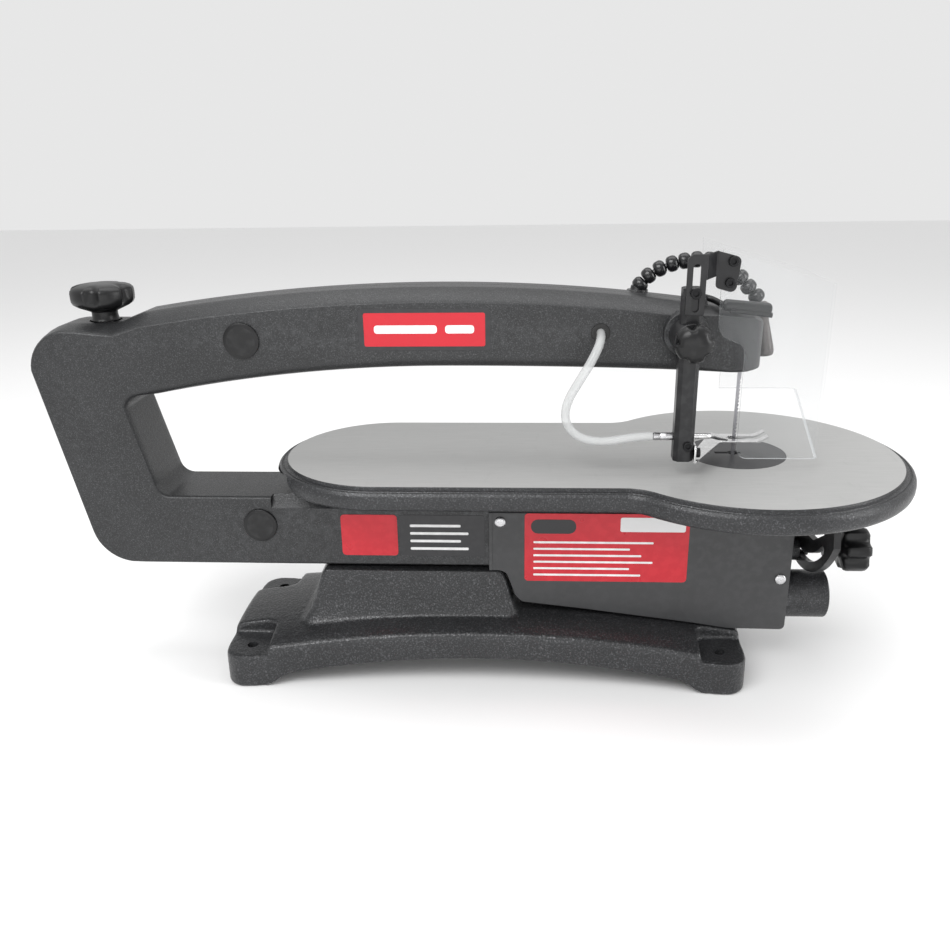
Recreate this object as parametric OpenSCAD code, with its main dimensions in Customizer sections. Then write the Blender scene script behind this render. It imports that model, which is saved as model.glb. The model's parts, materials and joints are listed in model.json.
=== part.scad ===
// Parallel-arm scroll saw: a hollow C-frame holds two rocking arms that drive a pinned blade
// through a tilting table. Millimetres. X runs along the arms towards the operator, Z is up,
// and the origin is the centre of the four base holes on the surface that the saw stands on.

/* [Frame] */
// Clear distance from the blade to the column, at table height
throat = 457; // [455:1:458]
// Height of the table's top above the bench
table_h = 176; // [174:1:180]
// Width of the C-frame
frame_w = 61; // [60:0.5:62]
// Wall thickness of the castings
wall = 4; // [3.5:0.5:4.5]
// Radius of the rounded edges of the frame
edge_r = 9; // [8:0.5:10]
// Distance from the blade back to the rocking arms' pivots
arm_reach = 371; // [370:1:372]
// Distance between the two pivots
pivot_gap = 147.5; // [147:0.5:148]
// Distance from the pivots back to the tension rod
rod_reach = 114; // [113:1:115]

/* [Table] */
// Radius of the table's round front part
table_r = 117; // [114:1:120]
// Half width of the table's straight rear part
table_half_w = 79; // [77:1:80]
// Distance from the blade back to the centre of the table's rear end
table_tail = 271; // [268:1:272]
// Radius of the throat insert
insert_r = 38; // [37:0.5:38.5]
// Depth of the rim around the table
rim_depth = 17; // [15:1:18]

/* [Base] */
// Hole spacing of the base along X
base_dx = 372; // [368:1:376]
// Hole spacing of the base along Y
base_dy = 102; // [98:1:106]
// Radius of the base holes
base_hole_r = 4.5; // [4:0.25:5]

/* [Blade and drive] */
// Length of the pin-end blade
blade_l = 127; // [126:1:127]
// Throw of the crank
crank_throw = 6.7; // [6:0.1:7]
// Outside radius of the dust port
dust_r = 19; // [18:0.5:19.5]

/* [Hold-down and guard] */
// Width of the square hold-down post
post_w = 14.4; // [14:0.2:15]
// Height of the presser foot above the table
foot_z = 11; // [11:0.5:12]
// Half width of the clear guard
guard_half_w = 39; // [38.5:0.5:40]
// Radius of the air hose
hose_r = 3.2; // [3:0.1:3.3]

/* [Hidden] */
$fn = 64;
eps = 0.02;
blade_x = 195;
half_w = frame_w / 2;

// Frame, measured from the blade line and the table's top
top_mid = [-228, 132];
top_arc_r = 1407;
under_mid = [-222, 75.2];
under_rear_r = 1150;
under_front_r = 4500;
nose_x = 13.6;
nose_z = 71;
plateau_z = 106.5;
frame_low = -88.5;
lower_top = -28;
seam_x = -190;
step_x = -361;
chamfer_drop = 6.6;
nose_mid_x = nose_x - half_w;

// Rocking arms
pivot_x = -arm_reach;
pivot_hi = 96;
pivot_lo = pivot_hi - pivot_gap;
rod_x = pivot_x - rod_reach;
hook_drop = 5;
rod_drop = 4;
rod_hi = pivot_hi - rod_drop;
rod_lo = pivot_lo - rod_drop;
hook_hi = pivot_hi - hook_drop;
hook_lo = pivot_lo - hook_drop;
rocker_half = 8;
pin_r = 6;
bush_r = 10;
run_gap = 0.05;
cap_r = 13.5;
rod_r = 3;
stub_r = 4;
clamp_pin_r = 2.5;

// Blade
blade_w = 3;
blade_t = 0.5;
blade_top = 77;
blade_pin_r = 0.8;
blade_pins = [blade_top - 2.5, blade_top - blade_l + 2.5];

// Drive
case_front = 45;
crank = [-110, -88];
crank_r = 20;
conrod_x = crank[0] + crank_throw;
rocker_slope = hook_drop / arm_reach;
conrod_z = pivot_lo - (conrod_x - pivot_x) * rocker_slope;
conrod_y = [8.5, 13.5];
shaft_r = 5;
motor_r = 38;
motor_end = 112;
cover_t = 2;
dust_at = [-13, -115];
dust_end = 78;

// Table trunnion and its lock
table_mid_x = 7.6;
insert_x = 2;
plate_t = 4;
rim_out = 8;
waist_r = 30;
trunnion_x = [58, 63];
trunnion_r = 92;
lock_r = 81;
lock_bolt_r = 3;

// Hold-down post, foot and air blower
post_at = [-48, -50];
post_z = [12, 136];
post_clamp_z = 101;
clamp_r = 12.5;
clamp_y = [-63, -37];
boss_r = 16;
strap_screw = [-47.5, 133.4];
nozzle_z = 29.5;
nozzle_r = 2.2;
foot_axis_z = 17;
foot_t = 1.5;

// Guard
guard_t = 2;
guard_front = 53.5;
guard_screw = [[-20.3, 152], [-21.5, 137.5]];

// Work light: centres of the hose's beads, seen from the side, at one depth
lamp_y = 15;
lamp_base_x = -78;
lamp_seat = 122;
bead_r = 5.5;
beads = [[-76, 128.5], [-70, 135], [-62, 140], [-53, 143.5], [-44, 145.5], [-35, 146.5],
         [-26, 146], [-17, 143.5], [-9, 139], [-2, 133], [4.5, 126], [11, 119], [16, 111.5]];

// Air hose, from the grommet round to the ferrule
hose_route = [[-108, -27, 101], [-108, -34, 101], [-108.5, -41, 99.5], [-110, -47.5, 96],
    [-113, -52.5, 90.5], [-117, -55.5, 83.5], [-121.5, -56.5, 76], [-126, -56, 68],
    [-130, -54.5, 60], [-132.5, -53, 52], [-133, -51.5, 44], [-130.5, -50.5, 36.5],
    [-125, -50, 30.5], [-117.5, -50, 26.8], [-109, -50, 25.5], [-100, -50, 25.8],
    [-91, -50, 27.2], [-83, -50, 28.5], [-76, -50, 29.3], [-70, -50, 29.5]];
hose_steps = 3;
hose_sides = 10;

// ---- helpers ----

// Moves a shape drawn from the blade line and the table's top into the saw's own frame
module place() translate([blade_x, 0, table_h]) children();

// Extrudes an (x, z) outline from y0 to y1
module in_xz(y0, y1) translate([0, y1, 0]) rotate([90, 0, 0]) linear_extrude(y1 - y0) children();

// Extrudes a (y, z) outline from x0 to x1
module in_yz(x0, x1) translate([x0, 0, 0]) rotate([90, 0, 90]) linear_extrude(x1 - x0) children();

module rod_along_y(r, y0, y1, at = [0, 0])
    translate([at[0], y1, at[1]]) rotate([90, 0, 0]) cylinder(r = r, h = y1 - y0);

module rod_along_x(r, x0, x1, at = [0, 0])
    translate([x0, at[0], at[1]]) rotate([0, 90, 0]) cylinder(r = r, h = x1 - x0);

module box(low, high) translate(low) cube(high - low);

// Pan-head screw along Y with a cross recess, its head standing off the plane at y
module pan_screw(at, y, r, head, shank_r, shank)
    difference() {
        union() {
            rod_along_y(r, y - head, y, at);
            rod_along_y(shank_r, y, y + shank, at);
        }
        translate([at[0], y - head, at[1]]) for (a = [45, 135]) rotate([0, a, 0])
            cube([r * 1.2, 1.2, r * 0.3], center = true);
    }

// Socket-head screw along Y with a hexagon recess
module socket_screw(at, y, r, head, shank_r, shank)
    difference() {
        union() {
            rod_along_y(r, y - head, y, at);
            rod_along_y(shank_r, y, y + shank, at);
        }
        translate([at[0], y - head + 2, at[1]]) rotate([90, 0, 0]) cylinder(r = r * 0.55, h = 3, $fn = 6);
    }

// Points of an arc from a0 to a1
function arc(mid, r, a0, a1, n = 8) =
    [for (i = [0:n]) let (a = a0 + (a1 - a0) * i / n) mid + r * [cos(a), sin(a)]];

// Height of a shallow arch with its top at mid
function arch(mid, r, x) = mid[1] - r + sqrt(r * r - pow(x - mid[0], 2));

function reversed(pts) = [for (i = [len(pts) - 1:-1:0]) pts[i]];
function unit(v) = v / norm(v);
function outward(a, b) = let (d = unit(b - a)) [d[1], -d[0]];

// Moves every side of a counter-clockwise outline inwards by d
function inset(pts, d) = let (n = len(pts)) [for (i = [0:n - 1])
    let (n1 = outward(pts[(i + n - 1) % n], pts[i]), n2 = outward(pts[i], pts[(i + 1) % n]))
    pts[i] - d * (n1 + n2) / (1 + n1 * n2)];

// Solid between rings that all have the same number of points
module loft(rings) {
    n = len(rings[0]);
    m = len(rings);
    polyhedron(
        points = [for (ring = rings) each ring],
        faces = concat(
            [[for (i = [0:n - 1]) i]],
            [[for (i = [0:n - 1]) n * m - 1 - i]],
            [for (k = [0:m - 2], i = [0:n - 1]) let (j = (i + 1) % n)
                [k * n + j, k * n + i, (k + 1) * n + i, (k + 1) * n + j]]),
        convexity = 10);
}

// Half of a plate from the middle plane to y = -depth, its outer edge rounded in steps
module rounded_half(pts, depth, r) {
    in_xz(r - depth, 0) polygon(pts);
    for (a = [20, 45, 67.5]) in_xz(-depth + r * (a > 60 ? 0 : 1 - sin(a)), 0)
        polygon(inset(pts, r * (1 - cos(a))));
}

// Knob with finger hollows: a domed disc on a hub, along +Z
module lobed_knob(r, h, hub_r, hub_h, hollows, hollow_r)
    difference() {
        union() {
            cylinder(r = hub_r, h = hub_h + eps);
            translate([0, 0, hub_h]) intersection() {
                cylinder(r = r, h = h);
                translate([0, 0, h - 2.2 * r]) sphere(r = 2.2 * r);
            }
        }
        for (i = [0:hollows - 1]) rotate(i * 360 / hollows)
            translate([r + hollow_r * 0.35, 0, hub_h - 1]) cylinder(r = hollow_r, h = h + 2);
    }

// ---- frame ----

// Side outline of the C-frame: upper arm, column and lower arm
frame_outline = reversed(concat(
    [[seam_x + 20, frame_low]], arc([-476, -52], 36.5, 262, 192, 7),
    arc([-504, 72], 34.5, 178, 96, 7), [[-500, plateau_z], [-470, plateau_z]],
    [for (i = [0:14]) let (x = -449 + i * (nose_x - 6 + 449) / 14) [x, arch(top_mid, top_arc_r, x)]],
    [[nose_x, 105], [nose_x, nose_z + 8]],
    [for (i = [0:3]) let (x = 4 - i * 75) [x, arch(under_mid, under_front_r, x)]],
    [for (i = [1:5]) let (x = under_mid[0] - i * 44) [x, arch(under_mid, under_rear_r, x)]],
    arc([-454, 40], 13, 105, 170, 4),
    arc([-441, -16], 12, 193, 268, 4),
    [[-400, lower_top], [seam_x + 20, lower_top]]));

// Room between the table's underside and the frame when the table is tilted to 45 degrees;
// deeper moves the slope down
module tilt_chamfer(x0, x1, deeper = 0)
    in_yz(x0, x1) translate([0, -chamfer_drop - deeper])
        polygon([[-60, -60], [40, 40], [-60, 40]]);

// What is cut off the arm's end, in plan, to leave it round with radius r
module nose_corner(r)
    translate([0, 0, nose_z - 20]) linear_extrude(80) polygon(concat(
        [[nose_mid_x - 5, -r - 0.9]], [for (a = [-75:15:0]) [nose_mid_x + r * cos(a), r * sin(a)]],
        [[nose_mid_x + r, 3], [nose_x + 20, 3], [nose_x + 20, -r - 30], [nose_mid_x - 5, -r - 30]]));

module frame_half_solid() {
    difference() {
        rounded_half(frame_outline, half_w, edge_r);
        nose_corner(half_w);
        difference() {
            in_xz(wall - half_w, 1) polygon(inset(frame_outline, wall));
            nose_corner(half_w - wall);
            tilt_chamfer(step_x - wall, seam_x + 30, wall * sqrt(2));
        }
        box([seam_x, -half_w - 1, frame_low - 1], [seam_x + 30, 1, lower_top + 1]);
    }
    // Bosses that hold the pivot pins
    for (z = [pivot_hi, pivot_lo])
        rod_along_y(pin_r + 6, wall - half_w - eps, -bush_r - 0.5, [pivot_x, z]);
}

// Holes that both halves share
module frame_holes() {
    for (z = [pivot_hi, pivot_lo]) rod_along_y(pin_r, -half_w - 2, half_w + 2, [pivot_x, z]);
    translate([rod_x, 0, 80]) cylinder(r = rod_r + 2.5, h = 40);
    translate([0, 0, nose_z - 20]) cylinder(r = 10.5, h = 30);
}

module housing_left() color("#3b3b3b") place() difference() {
    union() {
        frame_half_solid();
        rod_along_y(boss_r, clamp_y[1], wall - half_w, [post_at[0], post_clamp_z]);
    }
    frame_holes();
    tilt_chamfer(step_x, seam_x + 1);
    rod_along_y(hose_r + 1, -half_w - 1, 0, [hose_route[0][0], hose_route[0][2]]);
}

module housing_right() color("#3b3b3b") place() difference() {
    mirror([0, 1, 0]) frame_half_solid();
    frame_holes();
    for (at = screw_spots) rod_along_y(2.5, 0, half_w + 1, at);
    translate([lamp_base_x, lamp_y, lamp_seat]) cylinder(r = 8.3, h = 10);
}

// Screws that close the two halves, driven from the far side
screw_spots = [[-430, 88], [-300, 98], [-170, 101], [-60, 96], [-486, 10], [-420, -60], [-260, -62]];
module housing_screws() color("#b8b8b8") place()
    for (at = screw_spots) mirror([0, 1, 0]) socket_screw(at, -half_w, 4.5, 3, 2.4, 8);

// Box casting under the table that holds the drive; its near side is open
case_outline = [[seam_x, frame_low], [-181, -88.5], [-176, -91], [-169, -111], [-164, -116],
    [-116, -121.5], [-28, -133], [0, -137.5], [case_front, -138], [case_front, lower_top],
    [seam_x, lower_top]];
case_inside = [[seam_x - 1, -84], [-181, -84], [-172, -88], [-165, -107], [-161, -112],
    [-116, -117.5], [-28, -129], [0, -133.5], [case_front - wall, -134],
    [case_front - wall, lower_top - wall], [seam_x - 1, lower_top - wall]];
module drive_case() color("#3f3f3f") place() difference() {
    in_xz(-half_w, half_w) polygon(case_outline);
    difference() {
        in_xz(-half_w - 1, half_w - wall) polygon(case_inside);
        tilt_chamfer(seam_x - 2, case_front + 1, wall * sqrt(2));
    }
    tilt_chamfer(seam_x - 1, case_front + 1);
    translate([0, 0, lower_top - 20]) cylinder(r = 10.5, h = 30);
    rod_along_y(shaft_r + 1, 0, half_w + 1, crank);
    rod_along_x(dust_r - 2.5, case_front - wall - 1, case_front + 1, dust_at);
    rod_along_y(gland_hole_r, 0, half_w + 1, gland_at);
}
gland_at = [-30, -112];
gland_hole_r = 3.5;

module pivot_caps() color("#17171a") place() for (side = [0, 1], z = [pivot_hi, pivot_lo])
    mirror([0, side, 0]) {
        rod_along_y(cap_r, -half_w - 1.6, -half_w, [pivot_x, z]);
        rod_along_y(cap_r - 2.5, -half_w - 2.2, -half_w - 1.6 + eps, [pivot_x, z]);
    }

module pivot_pin(z) color("#c4c4c4") place() rod_along_y(pin_r, -half_w, half_w, [pivot_x, z]);
module upper_pivot_pin() pivot_pin(pivot_hi);
module lower_pivot_pin() pivot_pin(pivot_lo);

module pivot_bush(z) color("#b08d4a") place() difference() {
    rod_along_y(bush_r, -bush_r, bush_r, [pivot_x, z]);
    rod_along_y(pin_r + run_gap, -bush_r - 1, bush_r + 1, [pivot_x, z]);
}
module upper_pivot_bush() pivot_bush(pivot_hi);
module lower_pivot_bush() pivot_bush(pivot_lo);

// ---- rocking arms ----

// Forged arm: a deep hub at the pivot, forks for the tension rod and for the blade clamp
module rocker_arm(z, hook_h) {
    rear = z - rod_drop;
    front = z - hook_drop;
    difference() {
        union() {
            in_xz(-rocker_half, rocker_half) polygon([
                [pivot_x - 12, z - 12], [-280, z - 11], [-60, front - hook_h], [4.5, front - hook_h],
                [4.5, front + hook_h], [-60, front + hook_h + 1], [-280, z + 8], [pivot_x, z + 12],
                [pivot_x - 14, z + 11]]);
            in_xz(-bush_r, bush_r) polygon([
                [rod_x - 8, rear - 6], [pivot_x, z - 12.6], [pivot_x + 12, z - 12],
                [pivot_x + 12, z + 11.5], [pivot_x, z + 12], [rod_x - 8, rear + 5]]);
        }
        rod_along_y(bush_r, -bush_r - 1, bush_r + 1, [pivot_x, z]);
        box([rod_x - 12, -6.5, rear - 15], [rod_x + 12, 6.5, rear + 15]);
        rod_along_y(stub_r + run_gap, -bush_r - 1, bush_r + 1, [rod_x, rear]);
        box([-12, -5.5, front - 15], [10, 5.5, front + 15]);
        rod_along_y(clamp_pin_r + run_gap, -rocker_half - 1, rocker_half + 1, [0, front]);
    }
}
module upper_rocker_arm() color("#8d9094") place() rocker_arm(pivot_hi, 4.5);
module lower_rocker_arm() color("#8d9094") place() difference() {
    rocker_arm(pivot_lo, 4.5);
    rod_along_y(3 + run_gap, -rocker_half - 1, rocker_half + 1, [conrod_x, conrod_z]);
}

// Threaded rod that pulls the arms' rear ends together, with a shouldered neck under the knob
module tension_rod() color("#b9bcc0") place() translate([rod_x, 0, 0]) {
    translate([0, 0, rod_lo - 11]) cylinder(r = rod_r, h = 127 - rod_lo + 11);
    translate([0, 0, rod_lo - 9.5]) cylinder(r = 5.5, h = 3.4, $fn = 6);
}

module rod_trunnion(z) color("#9a9da1") place() difference() {
    union() {
        box([rod_x - 6, -6.2, z - 6], [rod_x + 6, 6.2, z + 6]);
        rod_along_y(stub_r, -bush_r, bush_r, [rod_x, z]);
    }
    translate([rod_x, 0, z - 10]) cylinder(r = rod_r, h = 20);
}
module upper_rod_trunnion() rod_trunnion(rod_hi);
module lower_rod_trunnion() rod_trunnion(rod_lo);

module tension_knob() color("#121214") place() translate([rod_x, 0, plateau_z + 4])
    difference() {
        lobed_knob(23.5, 20, 9.5, 4, 7, 4.5);
        translate([0, 0, -1]) cylinder(r = rod_r + run_gap, h = 18);
    }

// ---- blade ----

module blade() color("#6d7074") place() {
    difference() {
        in_xz(-blade_t / 2, blade_t / 2) polygon(concat(
            [[-blade_w / 2, blade_top], [-blade_w / 2, blade_top - blade_l],
             [blade_w / 2, blade_top - blade_l], [blade_w / 2, blade_teeth[0]]],
            [for (z = [blade_teeth[0] : blade_pitch : blade_teeth[1] - blade_pitch])
                each [[blade_w / 2, z], [blade_w / 2 - 0.9, z + 0.4]]],
            [[blade_w / 2, blade_teeth[1]], [blade_w / 2, blade_top]]));
        for (z = blade_pins) rod_along_y(blade_pin_r, -3, 3, [0, z]);
    }
    for (z = blade_pins) rod_along_y(blade_pin_r, -2.5, 2.5, [0, z]);
}
blade_teeth = [-36, 60];
blade_pitch = 3;

module upper_blade_clamp() color("#2a2a2c") place() difference() {
    union() {
        box([-4.5, -5.2, 66], [4.5, 5.2, hook_hi + 5]);
        rod_along_y(clamp_pin_r, -rocker_half, rocker_half, [0, hook_hi]);
    }
    box([-blade_w / 2, -blade_t / 2, 60], [10, blade_t / 2, blade_top]);
    rod_along_y(blade_pin_r, -2.5, 2.5, [0, blade_pins[0]]);
}
module lower_blade_clamp() color("#2a2a2c") place() difference() {
    union() {
        box([-4.5, -5.2, hook_lo - 5], [4.5, 5.2, -40]);
        rod_along_y(clamp_pin_r, -rocker_half, rocker_half, [0, hook_lo]);
    }
    box([-blade_w / 2, -blade_t / 2, blade_top - blade_l], [10, blade_t / 2, -30]);
    rod_along_y(blade_pin_r, -2.5, 2.5, [0, blade_pins[1]]);
}
module blade_clamp_screws() color("#b9bcc0") place()
    for (z = [69.5, -43.5]) rod_along_y(2.4, -8.4, -5.2, [0, z]);

// ---- quick tension lever ----

lever_axis = [-37, 123.8];
lever_y = -12;
module lever_bracket() color("#2b2b2d") place() difference() {
    for (side = [-1, 1]) in_xz(lever_y + side * 5 - 1.5, lever_y + side * 5 + 1.5) union() {
        translate(lever_axis) circle(r = 4.5);
        polygon([[-43, 119.9], [-31, 118.4], [-32.6, 124], [-41.4, 124]]);
    }
    rod_along_y(2 + run_gap, lever_y - 9, lever_y + 9, lever_axis);
}

// Rounded bar between two points
module bar(from, to, r) hull() for (p = [from, to]) translate(p) sphere(r = r, $fn = 24);
module tension_lever() color("#18181a") place() {
    rod_along_y(4, lever_y - 3.2, lever_y + 3.2, lever_axis);
    rod_along_y(2, lever_y - 6.5, lever_y + 6.5, lever_axis);
    bar([lever_axis[0], lever_y, lever_axis[1]], [-27.5, lever_y, 121.6], 2.2);
    bar([-27.5, lever_y, 121.6], [-22, -26.5, 120.5], 2.2);
    bar([-22, -26.5, 120.5], [13, -26, 116.3], 4.3);
    bar([-17, -28.5, 116], [13, -28, 112.5], 2);
}

// ---- table ----

// Plan of the table's flat top, grown outwards by d
module table_plan(d) {
    foot_x = table_mid_x - sqrt(pow(table_r + waist_r, 2) - pow(table_half_w + waist_r, 2));
    translate([table_mid_x, 0]) circle(r = table_r + d, $fn = 128);
    translate([-table_tail, 0]) circle(r = table_half_w + d, $fn = 96);
    translate([-table_tail, -table_half_w - d]) square([table_tail, 2 * (table_half_w + d)]);
    for (s = [0, 1]) mirror([0, s]) difference() {
        polygon([[foot_x, 0], [foot_x, table_half_w + waist_r], [table_mid_x, 0]]);
        translate([foot_x, table_half_w + waist_r]) circle(r = waist_r - d);
    }
}

module table_casting() color("#b3b3b0") place() difference() {
    union() {
        translate([0, 0, -plate_t]) linear_extrude(plate_t) table_plan(0);
        translate([0, 0, -5.5]) linear_extrude(3) table_plan(rim_out - 2);
        translate([0, 0, 2 - rim_depth]) linear_extrude(rim_depth - 6) table_plan(rim_out);
        translate([0, 0, -rim_depth]) linear_extrude(2.5) table_plan(rim_out - 2.5);
    }
    translate([0, 0, -rim_depth - 1]) linear_extrude(rim_depth + 1 - plate_t) table_plan(-4);
    // Relief over the lower arm, so that the rear rim clears it when the table tilts
    in_yz(-table_tail - table_half_w - 20, -table_tail - 20)
        polygon([[-63, -rim_depth - 1], [-49.2, -3.9], [-23, -3.9], [-8, -rim_depth - 1]]);
    translate([insert_x, 0, -3]) cylinder(r = insert_r + 0.1, h = 4);
    translate([insert_x, 0, -10]) cylinder(r = insert_r - 8, h = 12);
}

module table_insert() color("#26262a") place() difference() {
    translate([insert_x, 0, -3]) cylinder(r = insert_r, h = 3);
    box([-14, -2.2, -4], [6, 2.2, 1]);
    translate([0, 0, -4]) cylinder(r = 4.5, h = 5);
}

// Plate that hangs under the table, with an arc slot for the tilt lock
module table_trunnion() color("#2c2c2e") place() {
    in_yz(trunnion_x[0], trunnion_x[1]) difference() {
        intersection() {
            circle(r = trunnion_r, $fn = 96);
            polygon([[-72, -12], [-84, -60], [-40, -120], [40, -120], [16, -60], [30, -12]]);
        }
        intersection() {
            difference() {
                circle(r = lock_r + lock_bolt_r + 0.4, $fn = 96);
                circle(r = lock_r - lock_bolt_r - 0.4, $fn = 96);
            }
            polygon([[0, 0], [-100, -100], [-100, -120], [0, -120]]);
        }
        for (a = [-90, -136]) rotate(a) translate([lock_r, 0]) circle(r = lock_bolt_r + 0.4);
        polygon([[-52, -22], [-58, -44], [-36, -58], [-4, -62], [6, -22]]);
    }
    box([trunnion_x[0] - 8, -72, -12], [trunnion_x[1], 30, -plate_t]);
}

module lock_boss() color("#3f3f3f") place() difference() {
    rod_along_x(10, case_front, trunnion_x[0] - 0.5, [0, -lock_r]);
    rod_along_x(lock_bolt_r + run_gap, case_front - 1, trunnion_x[0] + 1, [0, -lock_r]);
}
module tilt_lock_bolt() color("#a9acb0") place() {
    rod_along_x(lock_bolt_r, case_front + 1, 90, [0, -lock_r]);
    difference() {
        rod_along_x(6, trunnion_x[1] + 0.4, trunnion_x[1] + 2.4, [0, -lock_r]);
        rod_along_x(lock_bolt_r, 60, 70, [0, -lock_r]);
    }
}
module tilt_lock_knob() color("#141416") place() translate([79, 0, -lock_r]) rotate([0, 90, 0])
    difference() {
        lobed_knob(18.6, 22, 6.6, 12, 6, 4.5);
        translate([0, 0, -1]) cylinder(r = lock_bolt_r, h = 12);
    }

// ---- covers, motor and drive ----

module side_cover() color("#2f3031") place() difference() {
    in_xz(-half_w - cover_t, -half_w) polygon(case_outline);
    tilt_chamfer(seam_x - 1, case_front + 1);
    for (at = cover_screws) rod_along_y(2.2, -half_w - 3, -half_w + 1, at);
}
cover_screws = [[-181, -46.5], [37.5, -93]];
module side_cover_screws() color("#c9cbce") place()
    for (at = cover_screws) pan_screw(at, -half_w - cover_t, 4.4, 2.2, 2.1, 3.5);

module motor_housing() color("#2d2d2f") place() difference() {
    union() {
        rod_along_y(motor_r, half_w, motor_end, crank);
        for (a = [30 : 30 : 330]) translate([crank[0], 0, crank[1]]) rotate([0, a, 0])
            box([motor_r - 2, 42, -1], [motor_r + 1.6, motor_end - 6, 1]);
    }
    rod_along_y(motor_r - 4, half_w + 8, motor_end + 1, crank);
    rod_along_y(shaft_r + run_gap, half_w - 1, half_w + 10, crank);
}
module motor_end_cap() color("#1e1e20") place() difference() {
    union() {
        rod_along_y(motor_r - 1, motor_end, motor_end + 9, crank);
        rod_along_y(motor_r - 10, motor_end + 9 - eps, motor_end + 12, crank);
    }
    rod_along_y(shaft_r + run_gap, motor_end - 1, motor_end + 8, crank);
    for (a = [0 : 30 : 330]) translate([crank[0], 0, crank[1]]) rotate([0, a, 0])
        box([16, motor_end - 1, -1.5], [26, motor_end + 13, 1.5]);
}
module motor_rotor() color("#9b9ea2") place() {
    rod_along_y(shaft_r, 25, motor_end + 7, crank);
    rod_along_y(26, 52, 96, crank);
}
module crank_wheel() color("#77797c") place() difference() {
    union() {
        rod_along_y(crank_r, 19, 25, crank);
        in_xz(25 - eps, 26) translate(crank) circle(r = 8);
    }
    rod_along_y(shaft_r, 25, 27, crank);
    rod_along_y(4, 18, 22, [conrod_x, crank[1]]);
}
module crank_pin() color("#c4c4c4") place() rod_along_y(4, conrod_y[1] + 0.4, 22, [conrod_x, crank[1]]);
module connecting_rod() color("#85888c") place() difference() {
    union() {
        in_xz(conrod_y[0], conrod_y[1]) union() {
            translate([conrod_x, conrod_z]) circle(r = 7);
            translate([conrod_x, crank[1]]) circle(r = 10);
            translate([conrod_x - 4, crank[1]]) square([8, conrod_z - crank[1]]);
        }
        rod_along_y(3, -rocker_half, conrod_y[0] + eps, [conrod_x, conrod_z]);
    }
    rod_along_y(7, conrod_y[0] - 1, conrod_y[1] + 1, [conrod_x, crank[1]]);
}
module rod_bearing() color("#c9cbce") place() difference() {
    rod_along_y(7, conrod_y[0], conrod_y[1], [conrod_x, crank[1]]);
    rod_along_y(4.05, conrod_y[0] - 1, conrod_y[1] + 1, [conrod_x, crank[1]]);
}

// Rubber bellows that the upper arm squeezes to blow dust off the work
module air_bellows() color("#1b1b1d") place() translate([-200, 0, 0]) {
    for (i = [0:3]) translate([0, 0, 107 + i * 5]) cylinder(r = 11, h = 3);
    translate([0, 0, 107]) cylinder(r = 8.5, h = 20.5);
}

// ---- air hose and blower ----

// Point of a smooth curve through the four points, t from 0 to 1 between the middle two
function through(a, b, c, d, t) = 0.5 * (2 * b + (c - a) * t + (2 * a - 5 * b + 4 * c - d) * t * t
    + (3 * b - a - 3 * c + d) * t * t * t);
function smooth(pts, steps) = let (n = len(pts)) concat(
    [for (i = [0:n - 2], k = [0:steps - 1]) through(pts[max(i - 1, 0)], pts[i], pts[i + 1],
        pts[min(i + 2, n - 1)], k / steps)], [pts[n - 1]]);

module hose_tube(pts, r, sides) {
    n = len(pts);
    along = [for (i = [0:n - 1]) unit(pts[min(i + 1, n - 1)] - pts[max(i - 1, 0)])];
    loft([for (i = [0:n - 1]) let (u = unit(cross([-0.4, 1, 0.3], along[i])), v = cross(along[i], u))
        [for (k = [0:sides - 1]) let (a = k * 360 / sides) pts[i] + r * (cos(a) * u + sin(a) * v)]]);
}
module air_hose() color("#d8dcdc") place()
    hose_tube(smooth(hose_route, hose_steps), hose_r, hose_sides);

module hose_grommet() color("#151517") place() difference() {
    union() {
        rod_along_y(hose_r + 2.6, -half_w - 1.5, -half_w, [hose_route[0][0], hose_route[0][2]]);
        rod_along_y(hose_r + 1, -half_w - eps, -half_w + wall - 1, [hose_route[0][0], hose_route[0][2]]);
    }
    rod_along_y(hose_r + 0.3, -half_w - 2, -half_w + wall, [hose_route[0][0], hose_route[0][2]]);
}

module nozzle_ferrule() color("#c8cacd") place() difference() {
    rod_along_x(2.9, -69.7, post_at[0] - post_w / 2, [post_at[1], nozzle_z]);
    rod_along_x(nozzle_r, -62, -40, [post_at[1], nozzle_z]);
}
module air_nozzle() color("#d2d4d6") place() {
    rod_along_x(nozzle_r, -62, -30, [post_at[1], nozzle_z]);
    translate([-30, post_at[1], nozzle_z]) sphere(r = nozzle_r + 0.8);
    tip = [-8.5, -13.5, 15.5] - [-30, post_at[1], nozzle_z];
    translate([-30, post_at[1], nozzle_z]) rotate([0, acos(tip[2] / norm(tip)), atan2(tip[1], tip[0])])
        cylinder(r1 = nozzle_r, r2 = 1.3, h = norm(tip));
}

// ---- hold-down ----

module post_outline(w, chamfer) polygon([
    for (a = [0:90:270], s = [-1, 1]) let (p = [w / 2, s * (w / 2 - chamfer)])
        [p[0] * cos(a) - p[1] * sin(a), p[0] * sin(a) + p[1] * cos(a)]]);

module foot_post() color("#1a1a1c") place() difference() {
    translate([post_at[0], post_at[1], post_z[0]]) linear_extrude(post_z[1] - post_z[0])
        post_outline(post_w, 3);
    rod_along_x(nozzle_r, -60, -36, [post_at[1], nozzle_z]);
    rod_along_x(2, -60, -36, [post_at[1], foot_axis_z]);
    rod_along_y(2, -60, -50, strap_screw);
}

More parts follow.
